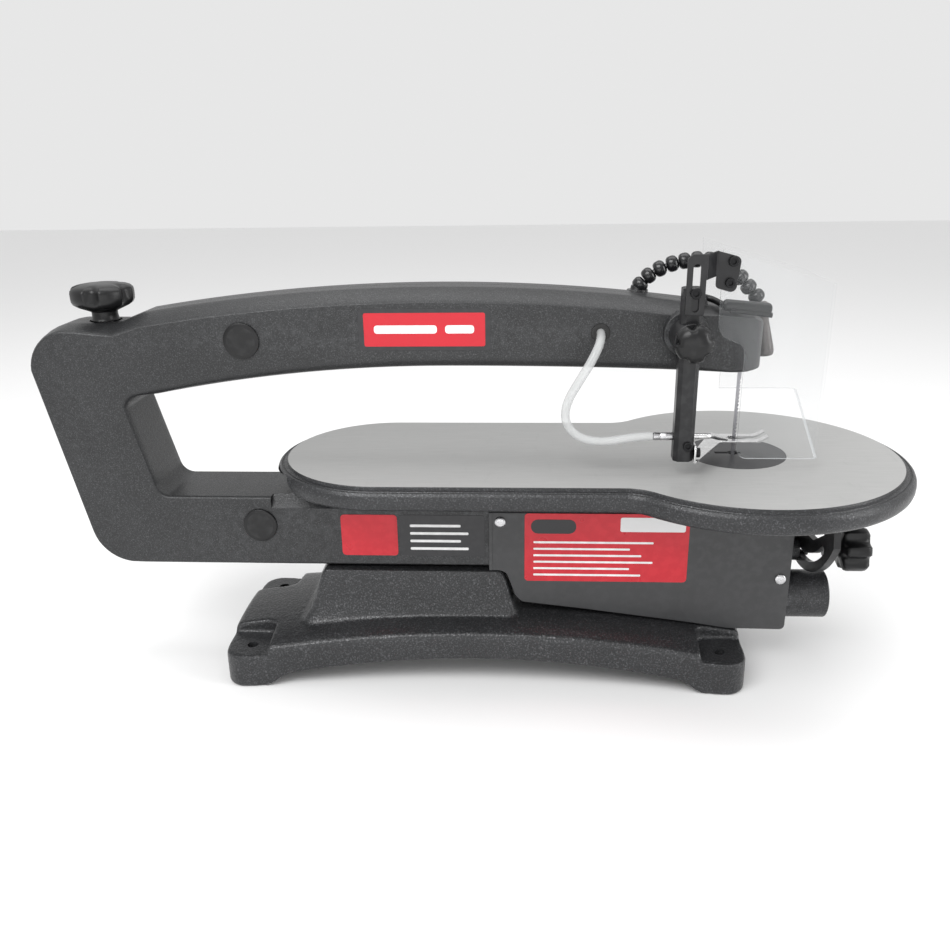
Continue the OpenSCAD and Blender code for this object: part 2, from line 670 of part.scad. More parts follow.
module post_clamp_block() color("#202022") place() difference() {
    rod_along_y(clamp_r, clamp_y[0], clamp_y[1], [post_at[0], post_clamp_z]);
    translate([post_at[0], post_at[1], 80]) linear_extrude(50) post_outline(post_w + 0.2, 3);
    rod_along_y(3 + run_gap, clamp_y[0] - 1, post_at[1], [post_at[0], post_clamp_z]);
}
module post_clamp_knob() color("#141416") place() {
    rod_along_y(3, clamp_y[0] - 4, post_at[1] - post_w / 2 - 0.3, [post_at[0], post_clamp_z]);
    translate([post_at[0], clamp_y[0] - 0.5, post_clamp_z]) rotate([90, 0, 0]) difference() {
        intersection() {
            cylinder(r = 13.3, h = 13);
            translate([0, 0, -2]) sphere(r = 15.5);
        }
        for (i = [0:4]) rotate(i * 72 + 20) translate([14, 0, -1]) cylinder(r = 3, h = 16);
    }
}

// Sheet foot: a flange on the post, a plate that runs in to the blade, and a fork round it
module presser_foot() color("#d4d6d8") place() difference() {
    union() {
        translate([0, 0, foot_z]) linear_extrude(foot_t) difference() {
            polygon([[-40.4, -57], [-39, -57], [-12, -9.5], [16, -9.5], [16, -4], [-5, -4], [-8, 0],
                [-5, 4], [16, 4], [16, 9.5], [-14, 9.5], [-22, 0], [-40.4, -43]]);
        }
        for (s = [-1, 1]) translate([16, s * 6.75, foot_z]) rotate([0, -26, 0])
            box([-0.2, -2.75, 0], [8, 2.75, foot_t]);
        box([-40.4, -57, foot_z], [-38.9, -43, foot_z + 13]);
    }
    rod_along_x(2 + run_gap, -45, -35, [post_at[1], foot_axis_z]);
}
module foot_screws() color("#1c1c1e") place() {
    rod_along_x(2, post_at[0] + 2, -36, [post_at[1], foot_axis_z]);
    rod_along_x(3.6, -38.4, -35, [post_at[1], foot_axis_z]);
    rod_along_y(3.4, post_at[1] - post_w / 2 - 2.5, post_at[1] - post_w / 2, [post_at[0] + 2.5, 24.2]);
    rod_along_y(2, -60, -50, strap_screw);
    rod_along_y(3.8, -62.2, -59.6, strap_screw);
}

// ---- guard ----

module guard_bracket() color("#1b1b1d") place() {
    y = post_at[1] - post_w / 2;
    difference() {
        in_xz(y - guard_t, y) polygon([[-54, 118], [-41, 118], [-41, 159], [-51, 159], [-54, 156]]);
        hull() for (z = [123, 139]) rod_along_y(2.6, y - 3, y + 1, [strap_screw[0], z]);
    }
    translate([0, 0, 142]) linear_extrude(17) polygon([[-41.2, y - guard_t], [-31, -guard_half_w - guard_t],
        [-30, -guard_half_w], [-41.2, y]]);
    difference() {
        in_xz(-guard_half_w - guard_t, -guard_half_w)
            polygon([[-31, 134], [-17, 130], [-14.5, 154.5], [-31, 159]]);
        for (at = guard_screw) rod_along_y(2, -guard_half_w - 4, -guard_half_w + 1, at);
    }
}

// Side of the guard: lower edge at z = low, notched behind the blade
module guard_side(low) union() {
    polygon(concat([[-27, 160], [-26.3, 108]], arc([-15, 108], 11.3, 182, 262, 4),
        arc([-16.5, 86], 10, 82, 8, 4), [[-6.5, low + 8]], arc([1.5, low + 8], 8, 188, 268, 5),
        [[40, low], [40, 139.5]]));
    polygon([[39, low], [guard_front, low], [guard_front, 135], [39, 139.8]]);
}
module guard_shield() color([0.85, 0.9, 0.92, 0.35]) place() difference() {
    union() {
        in_xz(-guard_half_w, -guard_half_w + guard_t) guard_side(8.5);
        in_xz(guard_half_w - guard_t, guard_half_w) guard_side(42);
        in_yz(guard_front - guard_t, guard_front) polygon([[-guard_half_w, 8.5], [guard_half_w, 42],
            [guard_half_w, 135], [-guard_half_w, 135]]);
    }
    for (at = guard_screw) rod_along_y(2, -guard_half_w - 4, -guard_half_w + 3, at);
}
module guard_screws() color("#202022") place() {
    for (at = guard_screw) {
        socket_screw(at, -guard_half_w - guard_t, 3.4, 3, 2, 2 * guard_t + 1.5);
        difference() {
            rod_along_y(3.4, -guard_half_w + guard_t, -guard_half_w + guard_t + 2.4, at);
            rod_along_y(2, -guard_half_w, -guard_half_w + 2 * guard_t + 3, at);
        }
    }
}

// ---- front and far side fittings ----

module dust_port() color("#4a4b4c") place() difference() {
    rod_along_x(dust_r, case_front, dust_end, dust_at);
    rod_along_x(dust_r - 2.5, case_front - 1, dust_end + 1, dust_at);
}

switch_at = [12, -60];
dial_at = [34, -60];
box_far = 54;
module switch_box() color("#1d1d1f") place() difference() {
    in_xz(half_w, box_far) polygon([[-6, -84], [case_front, -84], [case_front, -38], [-6, -38]]);
    rod_along_x(9.3, switch_at[0] - 7.3, switch_at[0] + 7.3, [box_far - 6, switch_at[1]]);
    box([switch_at[0] - 7.3, box_far - 6, switch_at[1] - 9.3],
        [switch_at[0] + 7.3, box_far + 1, switch_at[1] + 9.3]);
    rod_along_y(2.5 + run_gap, box_far - 10, box_far + 1, dial_at);
}
module switch_rocker() color("#b3201c") place() intersection() {
    rod_along_x(9, switch_at[0] - 7, switch_at[0] + 7, [box_far - 6, switch_at[1]]);
    in_yz(switch_at[0] - 7, switch_at[0] + 7) polygon([[box_far - 16, switch_at[1] - 8],
        [box_far - 16, switch_at[1] + 8], [box_far - 3.5, switch_at[1] + 8],
        [box_far + 0.8, switch_at[1]], [box_far - 3.5, switch_at[1] - 8]]);
}
module speed_dial() color("#141416") place() {
    translate([dial_at[0], box_far + 0.4, dial_at[1]]) rotate([-90, 0, 0]) difference() {
        cylinder(r = 8.5, h = 9);
        for (i = [0:11]) rotate(i * 30) translate([9.2, 0, -1]) cylinder(r = 1.4, h = 12, $fn = 16);
    }
    rod_along_y(2.5, box_far - 8, box_far + 1, dial_at);
}
module cable_gland() color("#161618") place() difference() {
    union() {
        rod_along_y(7.5, half_w, half_w + 4, gland_at);
        rod_along_y(5.5, half_w + 4 - eps, half_w + 14, gland_at);
    }
    rod_along_y(gland_hole_r, half_w - 1, half_w + 15, gland_at);
}

// ---- work light ----

// Turns a shape's +Z axis along the bead chain at bead i
module at_bead(i) {
    a = beads[max(i - 1, 0)];
    b = beads[min(i + 1, len(beads) - 1)];
    translate([beads[i][0], lamp_y, beads[i][1]]) rotate([0, 90 - atan2(b[1] - a[1], b[0] - a[0]), 0])
        children();
}
bead_profile = [[0, -3.4], [4.3, -3.4], [5.2, -1.8], [bead_r, 0], [5.2, 1.8], [4.3, 3.4], [0, 3.4]];
module bead() rotate_extrude() polygon(bead_profile);
// Each section's ball sits ball_back behind its first bead, in the bead before
ball_r = 3.2;
ball_back = 7.4;
module ball(i) at_bead(i) translate([0, 0, -ball_back]) {
    sphere(r = ball_r);
    cylinder(r = 2.1, h = ball_back);
}
module socket(i) at_bead(i) translate([0, 0, -ball_back]) {
    sphere(r = ball_r + 0.3);
    cylinder(r = 3, h = 6);
}
// Beads first to last in one piece, with a ball in the bead before and a socket for the next
module lamp_neck(first, last) difference() {
    union() {
        for (i = [first:last]) at_bead(i) bead();
        for (i = [first + 1:last]) at_bead(i) translate([0, 0, -ball_back]) cylinder(r = 2.1, h = ball_back);
        ball(first);
    }
    socket(last + 1);
}

module lamp_base() color("#141416") place() difference() {
    union() {
        translate([lamp_base_x, lamp_y, lamp_seat]) cylinder(r = 8, h = 3);
        translate([lamp_base_x, lamp_y, lamp_seat]) cylinder(r = 5.2, h = 5);
        at_bead(0) bead();
    }
    socket(1);
}
module lamp_neck_lower() color("#141416") place() lamp_neck(1, 4);
module lamp_neck_middle() color("#141416") place() lamp_neck(5, 8);
module lamp_neck_upper() color("#141416") place() lamp_neck(9, 11);
lamp_profile = [[0, 0], [5.2, 0], [5.2, 6], [4, 7.5], [4.6, 13], [6.6, 29], [6.9, 37], [5.9, 39], [0, 39]];
module lamp_head() color("#1a1a1c") place() difference() {
    union() {
        ball(12);
        translate([beads[12][0], lamp_y, beads[12][1]]) rotate([0, 171, 0]) rotate_extrude()
            polygon(lamp_profile);
    }
    translate([beads[12][0], lamp_y, beads[12][1]]) rotate([0, 171, 0]) translate([0, 0, 28])
        cylinder(r1 = 2, r2 = 5.4, h = 12);
}

// ---- base ----

base_corner = [base_dx / 2 + 20, base_dy / 2 + 19];
// Profile of the arched deck: level feet at both ends, the top and underside arched between them
function deck(top, x, span) = top[0] + (top[1] - top[0]) * (1 - pow(x / span, 2));
module base_profile(down) polygon(concat(
    [for (x = [-206 : 12 : 206]) [x, deck([30 - down, 46 - down], x, 206)]],
    [for (x = [206 : -12 : -206]) [x, -1]]));
// Plan of the base, shrunk by d: round corners and sides that curve in between them
module base_plan(d) {
    mid = base_corner - [16, 16];
    side = [for (x = [-1:0.1:1]) [mid[0] * x, d - base_corner[1] + 10 * (1 - x * x)]];
    polygon(concat(side, arc([mid[0], -mid[1]], 16 - d, -75, 0, 5), arc(mid, 16 - d, 0, 75, 5),
        [for (p = side) -p], arc([-mid[0], mid[1]], 16 - d, 105, 180, 5), arc(-mid, 16 - d, 180, 255, 5)));
}
module base_casting() color("#343536") difference() {
    union() {
        intersection() {
            linear_extrude(60) base_plan(0);
            in_xz(-80, 80) base_profile(0);
        }
        // Pedestal under the frame
        in_xz(-34, 34) polygon([[pedestal[0], 36], [pedestal[0] + 12, table_h + frame_low - 6],
            [pedestal[0] + 20, table_h + frame_low], [pedestal[1] - 16, table_h + frame_low],
            [pedestal[1] - 10, table_h + frame_low - 4], [pedestal[1], 40]]);
        in_xz(-40, 40) polygon([[-190, 28], [-182, 38], [-120, 44], [60, 46], [150, 41], [196, 30]]);
    }
    // Hollow underside, with bosses left round the holes
    difference() {
        intersection() {
            translate([0, 0, -1]) linear_extrude(60) base_plan(7);
            in_xz(-80, 80) base_profile(7);
        }
        for (sx = [-1, 1], sy = [-1, 1]) translate([sx * base_dx / 2, sy * base_dy / 2, -2])
            cylinder(r = 14, h = 60);
    }
    // Arch between the feet
    in_xz(-90, 90) polygon(concat([[-178, -2], [-172, 3]],
        [for (x = [-160 : 20 : 160]) [x, 8 + 16 * (1 - pow(x / 160, 2))]], [[172, 3], [178, -2]]));
    for (sx = [-1, 1], sy = [-1, 1]) translate([sx * base_dx / 2, sy * base_dy / 2, 0]) {
        translate([0, 0, -1]) cylinder(r = base_hole_r, h = 60);
        translate([0, 0, 28]) cylinder(r = 15, h = 30);
    }
}
pedestal = [-142, 28];

base_casting();
housing_left();
housing_right();
housing_screws();
drive_case();
pivot_caps();
upper_pivot_pin();
lower_pivot_pin();
upper_rocker_arm();
lower_rocker_arm();
upper_pivot_bush();
lower_pivot_bush();
tension_rod();
upper_rod_trunnion();
lower_rod_trunnion();
tension_knob();
upper_blade_clamp();
lower_blade_clamp();
blade();
blade_clamp_screws();
tension_lever();
lever_bracket();
table_casting();
table_insert();
table_trunnion();
tilt_lock_bolt();
tilt_lock_knob();
lock_boss();
side_cover();
side_cover_screws();
motor_housing();
motor_end_cap();
motor_rotor();
crank_wheel();
crank_pin();
connecting_rod();
rod_bearing();
air_bellows();
hose_grommet();
air_hose();
air_nozzle();
nozzle_ferrule();
foot_post();
post_clamp_block();
post_clamp_knob();
presser_foot();
foot_screws();
guard_bracket();
guard_shield();
guard_screws();
dust_port();
switch_box();
switch_rocker();
speed_dial();
cable_gland();
lamp_base();
lamp_neck_lower();
lamp_neck_middle();
lamp_neck_upper();
lamp_head();
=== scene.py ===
"""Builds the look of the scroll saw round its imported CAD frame."""
import bpy, bmesh, json, math
from mathutils import Matrix, Vector


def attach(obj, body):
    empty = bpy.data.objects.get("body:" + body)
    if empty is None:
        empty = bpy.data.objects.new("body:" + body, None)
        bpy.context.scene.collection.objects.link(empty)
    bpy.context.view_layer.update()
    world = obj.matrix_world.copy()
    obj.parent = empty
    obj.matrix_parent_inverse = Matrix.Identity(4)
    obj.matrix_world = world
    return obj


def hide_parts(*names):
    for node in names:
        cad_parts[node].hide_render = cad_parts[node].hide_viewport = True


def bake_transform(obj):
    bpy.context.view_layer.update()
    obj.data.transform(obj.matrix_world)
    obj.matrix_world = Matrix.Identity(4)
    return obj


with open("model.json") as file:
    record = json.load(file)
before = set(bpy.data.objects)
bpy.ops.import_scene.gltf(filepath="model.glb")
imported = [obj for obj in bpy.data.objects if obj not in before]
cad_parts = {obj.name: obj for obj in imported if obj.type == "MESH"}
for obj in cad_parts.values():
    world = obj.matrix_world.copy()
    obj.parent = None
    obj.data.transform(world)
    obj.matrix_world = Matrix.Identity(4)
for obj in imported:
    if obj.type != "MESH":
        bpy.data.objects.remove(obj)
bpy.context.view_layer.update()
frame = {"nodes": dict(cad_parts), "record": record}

# The saw is drawn in millimetres from the blade line and the table's top.
ORIGIN = Vector((195, 0, 176))


def P(x, y, z):
    """A point of the drawing, in metres in the frame's own axes."""
    return (Vector((x, y, z)) + ORIGIN) / 1000


# ---- camera, light, backdrop

def look(obj, forward, roll_degrees=0.0):
    """Turns a camera or a lamp so that it faces forward."""
    f = forward.normalized()
    right = f.cross(Vector((0, 0, 1))).normalized()
    up = right.cross(f)
    a = math.radians(roll_degrees)
    r2 = right * math.cos(a) + up * math.sin(a)
    u2 = up * math.cos(a) - right * math.sin(a)
    obj.rotation_euler = Matrix((r2, u2, -f)).transposed().to_euler()


PITCH, YAW, ROLL, LENS = math.radians(20.33), math.radians(-3.5), -0.93, 34.47
camera = bpy.data.objects.new("camera", bpy.data.cameras.new("camera"))
bpy.context.collection.objects.link(camera)
camera.location = P(-160.2, -682.5, 233.6)
look(camera, Vector((math.sin(YAW) * math.cos(PITCH), math.cos(YAW) * math.cos(PITCH), -math.sin(PITCH))),
     ROLL)
camera.data.sensor_width = 36
camera.data.lens = LENS
camera.data.clip_start = 0.01
bpy.context.scene.camera = camera


def light(name, energy, location, target, size):
    """A rectangular lamp; places and sizes are in metres."""
    data = bpy.data.lights.new(name, "AREA")
    data.energy = energy
    data.shape = "RECTANGLE"
    data.size, data.size_y = size
    obj = bpy.data.objects.new(name, data)
    obj.location = location
    look(obj, Vector(target) - Vector(location))
    bpy.context.collection.objects.link(obj)


light("key", 17, (-0.55, -0.95, 1.35), (0.0, 0, 0.18), (1.1, 0.8))
light("top", 9, (0.05, 0.25, 1.5), (0.0, 0, 0.2), (1.6, 0.9))
light("side", 7, (1.35, -0.45, 0.6), (0.1, 0, 0.15), (0.5, 0.9))
light("low", 3, (0.0, -1.5, 0.25), (0, 0, 0.12), (1.8, 0.35))

world = bpy.data.worlds.new("studio")
bpy.context.scene.world = world
world.use_nodes = True
backdrop = world.node_tree.nodes["Background"].inputs
backdrop["Color"].default_value = (1, 1, 1, 1)
backdrop["Strength"].default_value = 0.8
bpy.context.scene.view_settings.view_transform = "Standard"

# ---- materials

def material(name, base, roughness, metallic=0.0, **sockets):
    """A plain Principled material; further sockets are given by name, with _ for a space."""
    m = bpy.data.materials.new(name)
    m.use_nodes = True
    shader = m.node_tree.nodes["Principled BSDF"]
    shader.inputs["Base Color"].default_value = (*base, 1)
    shader.inputs["Roughness"].default_value = roughness
    shader.inputs["Metallic"].default_value = metallic
    for socket, value in sockets.items():
        shader.inputs[socket.replace("_", " ")].default_value = value
    return m


def node(m, kind, **settings):
    """A new node, its sockets and its own settings given by name."""
    n = m.node_tree.nodes.new(kind)
    for key, value in settings.items():
        if key in n.inputs:
            n.inputs[key].default_value = value
        else:
            setattr(n, key, value)
    return n


def texture(m, kind, scale, stretch=(1, 1, 1), **inputs):
    """A 3-D texture in the part's own coordinates; scale is in cells per metre."""
    where = node(m, "ShaderNodeTexCoord")
    spread = node(m, "ShaderNodeMapping", Scale=stretch)
    t = node(m, kind, Scale=scale, **inputs)
    m.node_tree.links.new(where.outputs["Object"], spread.inputs["Vector"])
    m.node_tree.links.new(spread.outputs["Vector"], t.inputs["Vector"])
    return t


def noise(m, scale, stretch=(1, 1, 1), **inputs):
    return texture(m, "ShaderNodeTexNoise", scale, stretch, **inputs).outputs["Fac"]


def ramp(m, source, *stops):
    """Maps a texture to a colour or a grey level through (position, value) stops."""
    r = node(m, "ShaderNodeValToRGB")
    while len(r.color_ramp.elements) < len(stops):
        r.color_ramp.elements.new(0.5)
    for e, (at, value) in zip(r.color_ramp.elements, stops):
        e.position = at
        e.color = (*value, 1) if hasattr(value, "__len__") else (value, value, value, 1)
    m.node_tree.links.new(source, r.inputs["Fac"])
    return r.outputs["Color"]


def bump(m, source, strength, distance, after=None):
    """Raises the surface by a texture, on top of an earlier bump if there is one."""
    b = node(m, "ShaderNodeBump", Strength=strength, Distance=distance)
    m.node_tree.links.new(source, b.inputs["Height"])
    if after:
        m.node_tree.links.new(after, b.inputs["Normal"])
    link(m, b.outputs["Normal"], "Normal")
    return b.outputs["Normal"]


def link(m, source, socket):
    """Feeds a node's output into a socket of the material's shader."""
    m.node_tree.links.new(source, m.node_tree.nodes["Principled BSDF"].inputs[socket])


def multiplied(m, a, b):
    """Two colours multiplied."""
    x = node(m, "ShaderNodeMix", data_type="RGBA", blend_type="MULTIPLY")
    x.inputs["Factor"].default_value = 1.0
    m.node_tree.links.new(a, x.inputs[6])
    m.node_tree.links.new(b, x.inputs[7])
    return x.outputs[2]


def edge_wear(m, colour, worn, amount):
    """Paint rubbed thin on the sharpest edges, broken up by noise."""
    geometry = node(m, "ShaderNodeNewGeometry")
    rub = ramp(m, geometry.outputs["Pointiness"], (0.53, 0.0), (0.60, 1.0))
    both = multiplied(m, rub, ramp(m, noise(m, 160, Detail=4), (0.45, 0.0), (0.62, amount)))
    x = node(m, "ShaderNodeMix", data_type="RGBA")
    x.inputs[7].default_value = (*worn, 1)
    m.node_tree.links.new(both, x.inputs["Factor"])
    m.node_tree.links.new(colour, x.inputs[6])
    return x.outputs[2]


def hammered(name, dark, light_tone, cell, depth, rough=(0.30, 0.48)):
    """Hammered enamel: shallow dimples, with silvery flake gathered between them."""
    m = material(name, dark, 0.4, 0.25)
    cells = texture(m, "ShaderNodeTexVoronoi", cell, Randomness=1.0)
    flake = noise(m, cell * 1.9, Detail=3, Roughness=0.6)
    cloud = noise(m, 22, Detail=3)
    base = ramp(m, flake, (0.42, dark), (0.56, [d * 1.35 for d in dark]), (0.74, light_tone))
    shade = ramp(m, cloud, (0.3, 0.78), (0.7, 1.0))
    link(m, edge_wear(m, multiplied(m, base, shade), light_tone, 0.25), "Base Color")
    link(m, ramp(m, flake, (0.35, rough[1]), (0.7, rough[0])), "Roughness")
    first = bump(m, cells.outputs["Distance"], 0.5, depth)
    bump(m, flake, 0.35, depth * 0.7, after=first)
    return m


def satin(name, base, rough, grain, depth, variation=0.15, metallic=0.0, **sockets):
    """Moulded plastic or sprayed paint: a fine grain, slight tone changes and worn edges."""
    m = material(name, base, rough, metallic, **sockets)
    fine = noise(m, grain, Detail=2)
    cloud = noise(m, 35, Detail=4)
    tone = ramp(m, cloud, (0.3, [b * (1 - variation) for b in base]),
                (0.7, [b * (1 + variation) for b in base]))
    link(m, edge_wear(m, tone, [min(1, b * 1.6 + 0.03) for b in base], 0.3), "Base Color")
    link(m, ramp(m, cloud, (0.3, rough - 0.06), (0.7, rough + 0.06)), "Roughness")
    bump(m, fine, 0.4, depth)
    return m


def metal(name, base, rough, stretch=(1, 1, 1), grain=900):
    """Bare metal with the fine lines of its machining, or cloudy where stretch is even."""
    m = material(name, base, rough, 1.0)
    lines = noise(m, grain, stretch, Detail=3)
    cloud = noise(m, 60, Detail=3)
    link(m, ramp(m, lines, (0.3, [b * 0.82 for b in base]), (0.7, base)), "Base Color")
    link(m, ramp(m, cloud, (0.3, rough * 0.75), (0.7, rough * 1.3)), "Roughness")
    bump(m, lines, 0.25, 0.00008)
    return m


def clear(name, tint, alpha, rough):
    """Clear plastic sheet or tube, with faint haze and fine scuffs."""
    m = material(name, tint, rough, Alpha=alpha, IOR=1.49)
    haze = noise(m, 45, Detail=5)
    scuff = noise(m, 420, (1, 1, 6), Detail=2)
    link(m, ramp(m, haze, (0.3, rough * 0.6), (0.75, rough * 1.8)), "Roughness")
    link(m, ramp(m, scuff, (0.3, [t * 0.96 for t in tint]), (0.7, tint)), "Base Color")
    bump(m, haze, 0.08, 0.0002)
    return m


CASTING = hammered("casting", (0.021, 0.0215, 0.0225), (0.11, 0.113, 0.118), 820, 0.00022)
BASE_CASTING = hammered("base_casting", (0.024, 0.0245, 0.026), (0.15, 0.153, 0.16), 430, 0.00045,
                        (0.24, 0.44))
RIM = hammered("rim", (0.022, 0.0225, 0.024), (0.12, 0.122, 0.13), 520, 0.0003, (0.28, 0.46))
COVER = satin("cover", (0.034, 0.0345, 0.036), 0.42, 2600, 0.00006, 0.12)
BLACK_METAL = satin("black_metal", (0.008, 0.008, 0.009), 0.34, 1800, 0.00005, 0.2, Specular_IOR_Level=0.4)
BLACK_PLASTIC = satin("black_plastic", (0.007, 0.007, 0.0075), 0.34, 1500, 0.00008, Specular_IOR_Level=0.35)
BLACK_GLOSS = satin("black_gloss", (0.008, 0.008, 0.009), 0.2, 900, 0.00003, 0.1)
BLACK_SCREW = satin("black_screw", (0.012, 0.012, 0.013), 0.32, 2200, 0.00004, 0.2, 0.7)
STEEL = metal("bright_steel", (0.62, 0.62, 0.63), 0.26)
PLATED = metal("plated", (0.80, 0.80, 0.80), 0.24, grain=300)
BLADE = metal("blade_steel", (0.36, 0.36, 0.38), 0.3, (1, 1, 0.1))
BRONZE = metal("bronze", (0.45, 0.30, 0.12), 0.35)
AS_CAST = metal("as_cast", (0.42, 0.43, 0.44), 0.5)
RUBBER = satin("rubber", (0.012, 0.012, 0.012), 0.62, 1400, 0.0001)
GUARD = clear("clear_guard", (0.56, 0.58, 0.59), 0.05, 0.04)
GUARD_EDGE = clear("guard_edge", (0.50, 0.52, 0.53), 0.6, 0.12)
HOSE = clear("clear_hose", (0.58, 0.59, 0.59), 0.55, 0.12)
RED_PLASTIC = satin("red_plastic", (0.45, 0.015, 0.012), 0.25, 900, 0.00003)
# The lamp's shade is black plastic; its lighter grey-brown colour is painted haze and sheen.
LAMP_SHADE = satin("lamp_shade", (0.085, 0.075, 0.072), 0.3, 1100, 0.00003, 0.1)
LABEL_RED = satin("label_red", (0.50, 0.004, 0.016), 0.32, 1300, 0.00001, 0.04)
LABEL_DARK = satin("label_dark", (0.016, 0.016, 0.018), 0.34, 1300, 0.00001, 0.05)
LABEL_WHITE = satin("label_white", (0.72, 0.72, 0.72), 0.35, 1300, 0.00001, 0.03)
INSERT_PLASTIC = satin("insert", (0.030, 0.030, 0.032), 0.45, 1500, 0.00006)


def table_top():
    """Ground aluminium, matt, with fine lines across and a few faint scuffs."""
    base = (0.36, 0.36, 0.355)
    m = material("table_top", base, 0.42, 0.15)
    lines = noise(m, 700, (0.06, 1, 1), Detail=3)
    cloud = noise(m, 9, Detail=4)
    scuff = noise(m, 130, (1, 0.25, 1), Detail=6, Roughness=0.75)
    tone = ramp(m, lines, (0.3, [b * 0.95 for b in base]), (0.7, [b * 1.04 for b in base]))
    wide = ramp(m, cloud, (0.3, 0.95), (0.7, 1.0))
    marks = ramp(m, scuff, (0.30, 0.93), (0.42, 1.0))
    link(m, multiplied(m, multiplied(m, tone, wide), marks), "Base Color")
    link(m, ramp(m, cloud, (0.3, 0.38), (0.7, 0.48)), "Roughness")
    bump(m, lines, 0.15, 0.00004)
    return m


TABLE = table_top()
SLOT_LOOKS = {
    "casting_paint": CASTING, "cover_paint": COVER, "table_metal": TABLE, "insert_plastic": INSERT_PLASTIC,
    "black_metal": BLACK_METAL, "black_plastic": BLACK_PLASTIC, "black_screw": BLACK_SCREW,
    "bright_steel": STEEL, "arm_metal": AS_CAST, "bronze": BRONZE, "blade_steel": BLADE,
    "clamp_steel": BLACK_SCREW, "motor_paint": COVER, "soft_rubber": RUBBER, "clear_hose": HOSE,
    "plated_metal": PLATED, "clear_guard": GUARD, "red_plastic": RED_PLASTIC,
}
node_slot = {s["node"]: s["material_slot"] for s in frame["record"]["subparts"]}
for name, obj in frame["nodes"].items():
    obj.data.materials.clear()
    obj.data.materials.append(SLOT_LOOKS[node_slot[name]])

# ---- mesh tools

def arc(cx, cy, r, a0, a1, n):
    """Points on a circle round (cx, cy) from a0 to a1 degrees."""
    return [(cx + r * math.cos(math.radians(a0 + (a1 - a0) * i / n)),
             cy + r * math.sin(math.radians(a0 + (a1 - a0) * i / n))) for i in range(n + 1)]


def corner(points, i):
    """A point of a closed outline between its neighbours."""
    return Vector(points[i - 1]), Vector(points[i]), Vector(points[(i + 1) % len(points)])


def inset(points, d):
    """Every side of a counter-clockwise outline moved inwards by d."""
    if not d:
        return list(points)
    out = []
    for i in range(len(points)):
        a, b, c = corner(points, i)
        u, v = (b - a).normalized(), (c - b).normalized()
        n1, n2 = Vector((u.y, -u.x)), Vector((v.y, -v.x))
        out.append(tuple(b - d * (n1 + n2) / (1 + n1.dot(n2))))
    return out


def round_corners(points, radii, n=6):
    """A polygon with each corner rounded; radii is one number or one per corner."""
    out = []
    for i in range(len(points)):
        r = radii[i] if hasattr(radii, "__len__") else radii
        a, b, c = corner(points, i)
        u, v = (a - b).normalized(), (c - b).normalized()
        angle = u.angle(v)
        if r <= 0 or angle > math.pi - 1e-3:
            out.append(tuple(b))
            continue
        back = min(r / math.tan(angle / 2), (a - b).length * 0.49, (c - b).length * 0.49)
        r = back * math.tan(angle / 2)
        mid = b + (u + v).normalized() * (r / math.sin(angle / 2))
        s, e = b + u * back - mid, b + v * back - mid
        turn = s.angle_signed(e)
        for k in range(n + 1):
            q = s.copy()
            q.rotate(Matrix.Rotation(-turn * k / n, 2))
            out.append(tuple(mid + q))
    return out


def smoothed(bm, degrees):
    """Smooth shading, with a sharp edge wherever the faces turn by more than degrees."""
    limit = math.radians(degrees)
    for f in bm.faces:
        f.smooth = True
    for e in bm.edges:
        e.smooth = len(e.link_faces) == 2 and e.calc_face_angle(0) < limit


def solid(draw, *args, **options):
    """A new mesh with one shape drawn in it."""
    bm = bmesh.new()
    draw(bm, *args, **options)
    return bm


def to_object(name, bm, looks, degrees=32, merge=1e-6):
    """The drawing's mesh becomes an object in the frame's own axes, with one look or a list of them."""
    if merge:
        bmesh.ops.remove_doubles(bm, verts=bm.verts, dist=merge)
    for v in bm.verts:
        v.co = (v.co + ORIGIN) / 1000
    bmesh.ops.recalc_face_normals(bm, faces=bm.faces)
    smoothed(bm, degrees)
    mesh = bpy.data.meshes.new(name)
    bm.to_mesh(mesh)
    bm.free()
    obj = bpy.data.objects.new(name, mesh)
    bpy.context.collection.objects.link(obj)
    for look_of in (looks if isinstance(looks, (list, tuple)) else [looks]):
        mesh.materials.append(look_of)
    return obj


def place(obj, body, *nodes, slot=None):
    """obj rides on a body and stands for the nodes; slot is not used."""
    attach(obj, body)
    if nodes:
        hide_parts(*nodes)
    return obj


def rings(bm, loops, closed=False):
    """Skins a list of rings of equal length, and either joins the last to the first or caps both ends."""
    made = [[bm.verts.new(p) for p in loop] for loop in loops]
    n = len(made[0])
    pairs = list(zip(made, made[1:])) + ([(made[-1], made[0])] if closed else [])
    for a, b in pairs:
        for i in range(n):
            j = (i + 1) % n
            bm.faces.new((a[i], a[j], b[j], b[i]))
    if not closed:
        bm.faces.new(made[0][::-1])
        bm.faces.new(made[-1])


def prism(bm, points, low, high, plane="xz", edge=0.0, steps=2):
    """An outline between two levels, its edges rounded by edge. plane names the outline's axes."""
    area = sum(points[i - 1][0] * p[1] - p[0] * points[i - 1][1] for i, p in enumerate(points))
    if area < 0:
        points = points[::-1]
    put = {"xz": lambda u, v, w: (u, w, v), "yz": lambda u, v, w: (w, u, v),
           "xy": lambda u, v, w: (u, v, w)}[plane]
    levels = []
    if edge:
        for k in range(steps + 1):
            a = math.pi / 2 * k / steps
            levels.append((edge * (1 - math.sin(a)), low + edge * (1 - math.cos(a))))
        levels += [(d, high - (w - low)) for d, w in levels[::-1]]
    else:
        levels = [(0, low), (0, high)]
    rings(bm, [[put(u, v, w) for u, v in inset(points, d)] for d, w in levels])


def axes(direction):
    """A unit vector along direction and two at right angles to it."""
    axis = Vector(direction).normalized()
    side = axis.orthogonal().normalized()
    return axis, side, axis.cross(side)


def circle(middle, side, other, r, n):
    return [middle + r * (side * math.cos(t) + other * math.sin(t))
            for t in (2 * math.pi * k / n for k in range(n))]


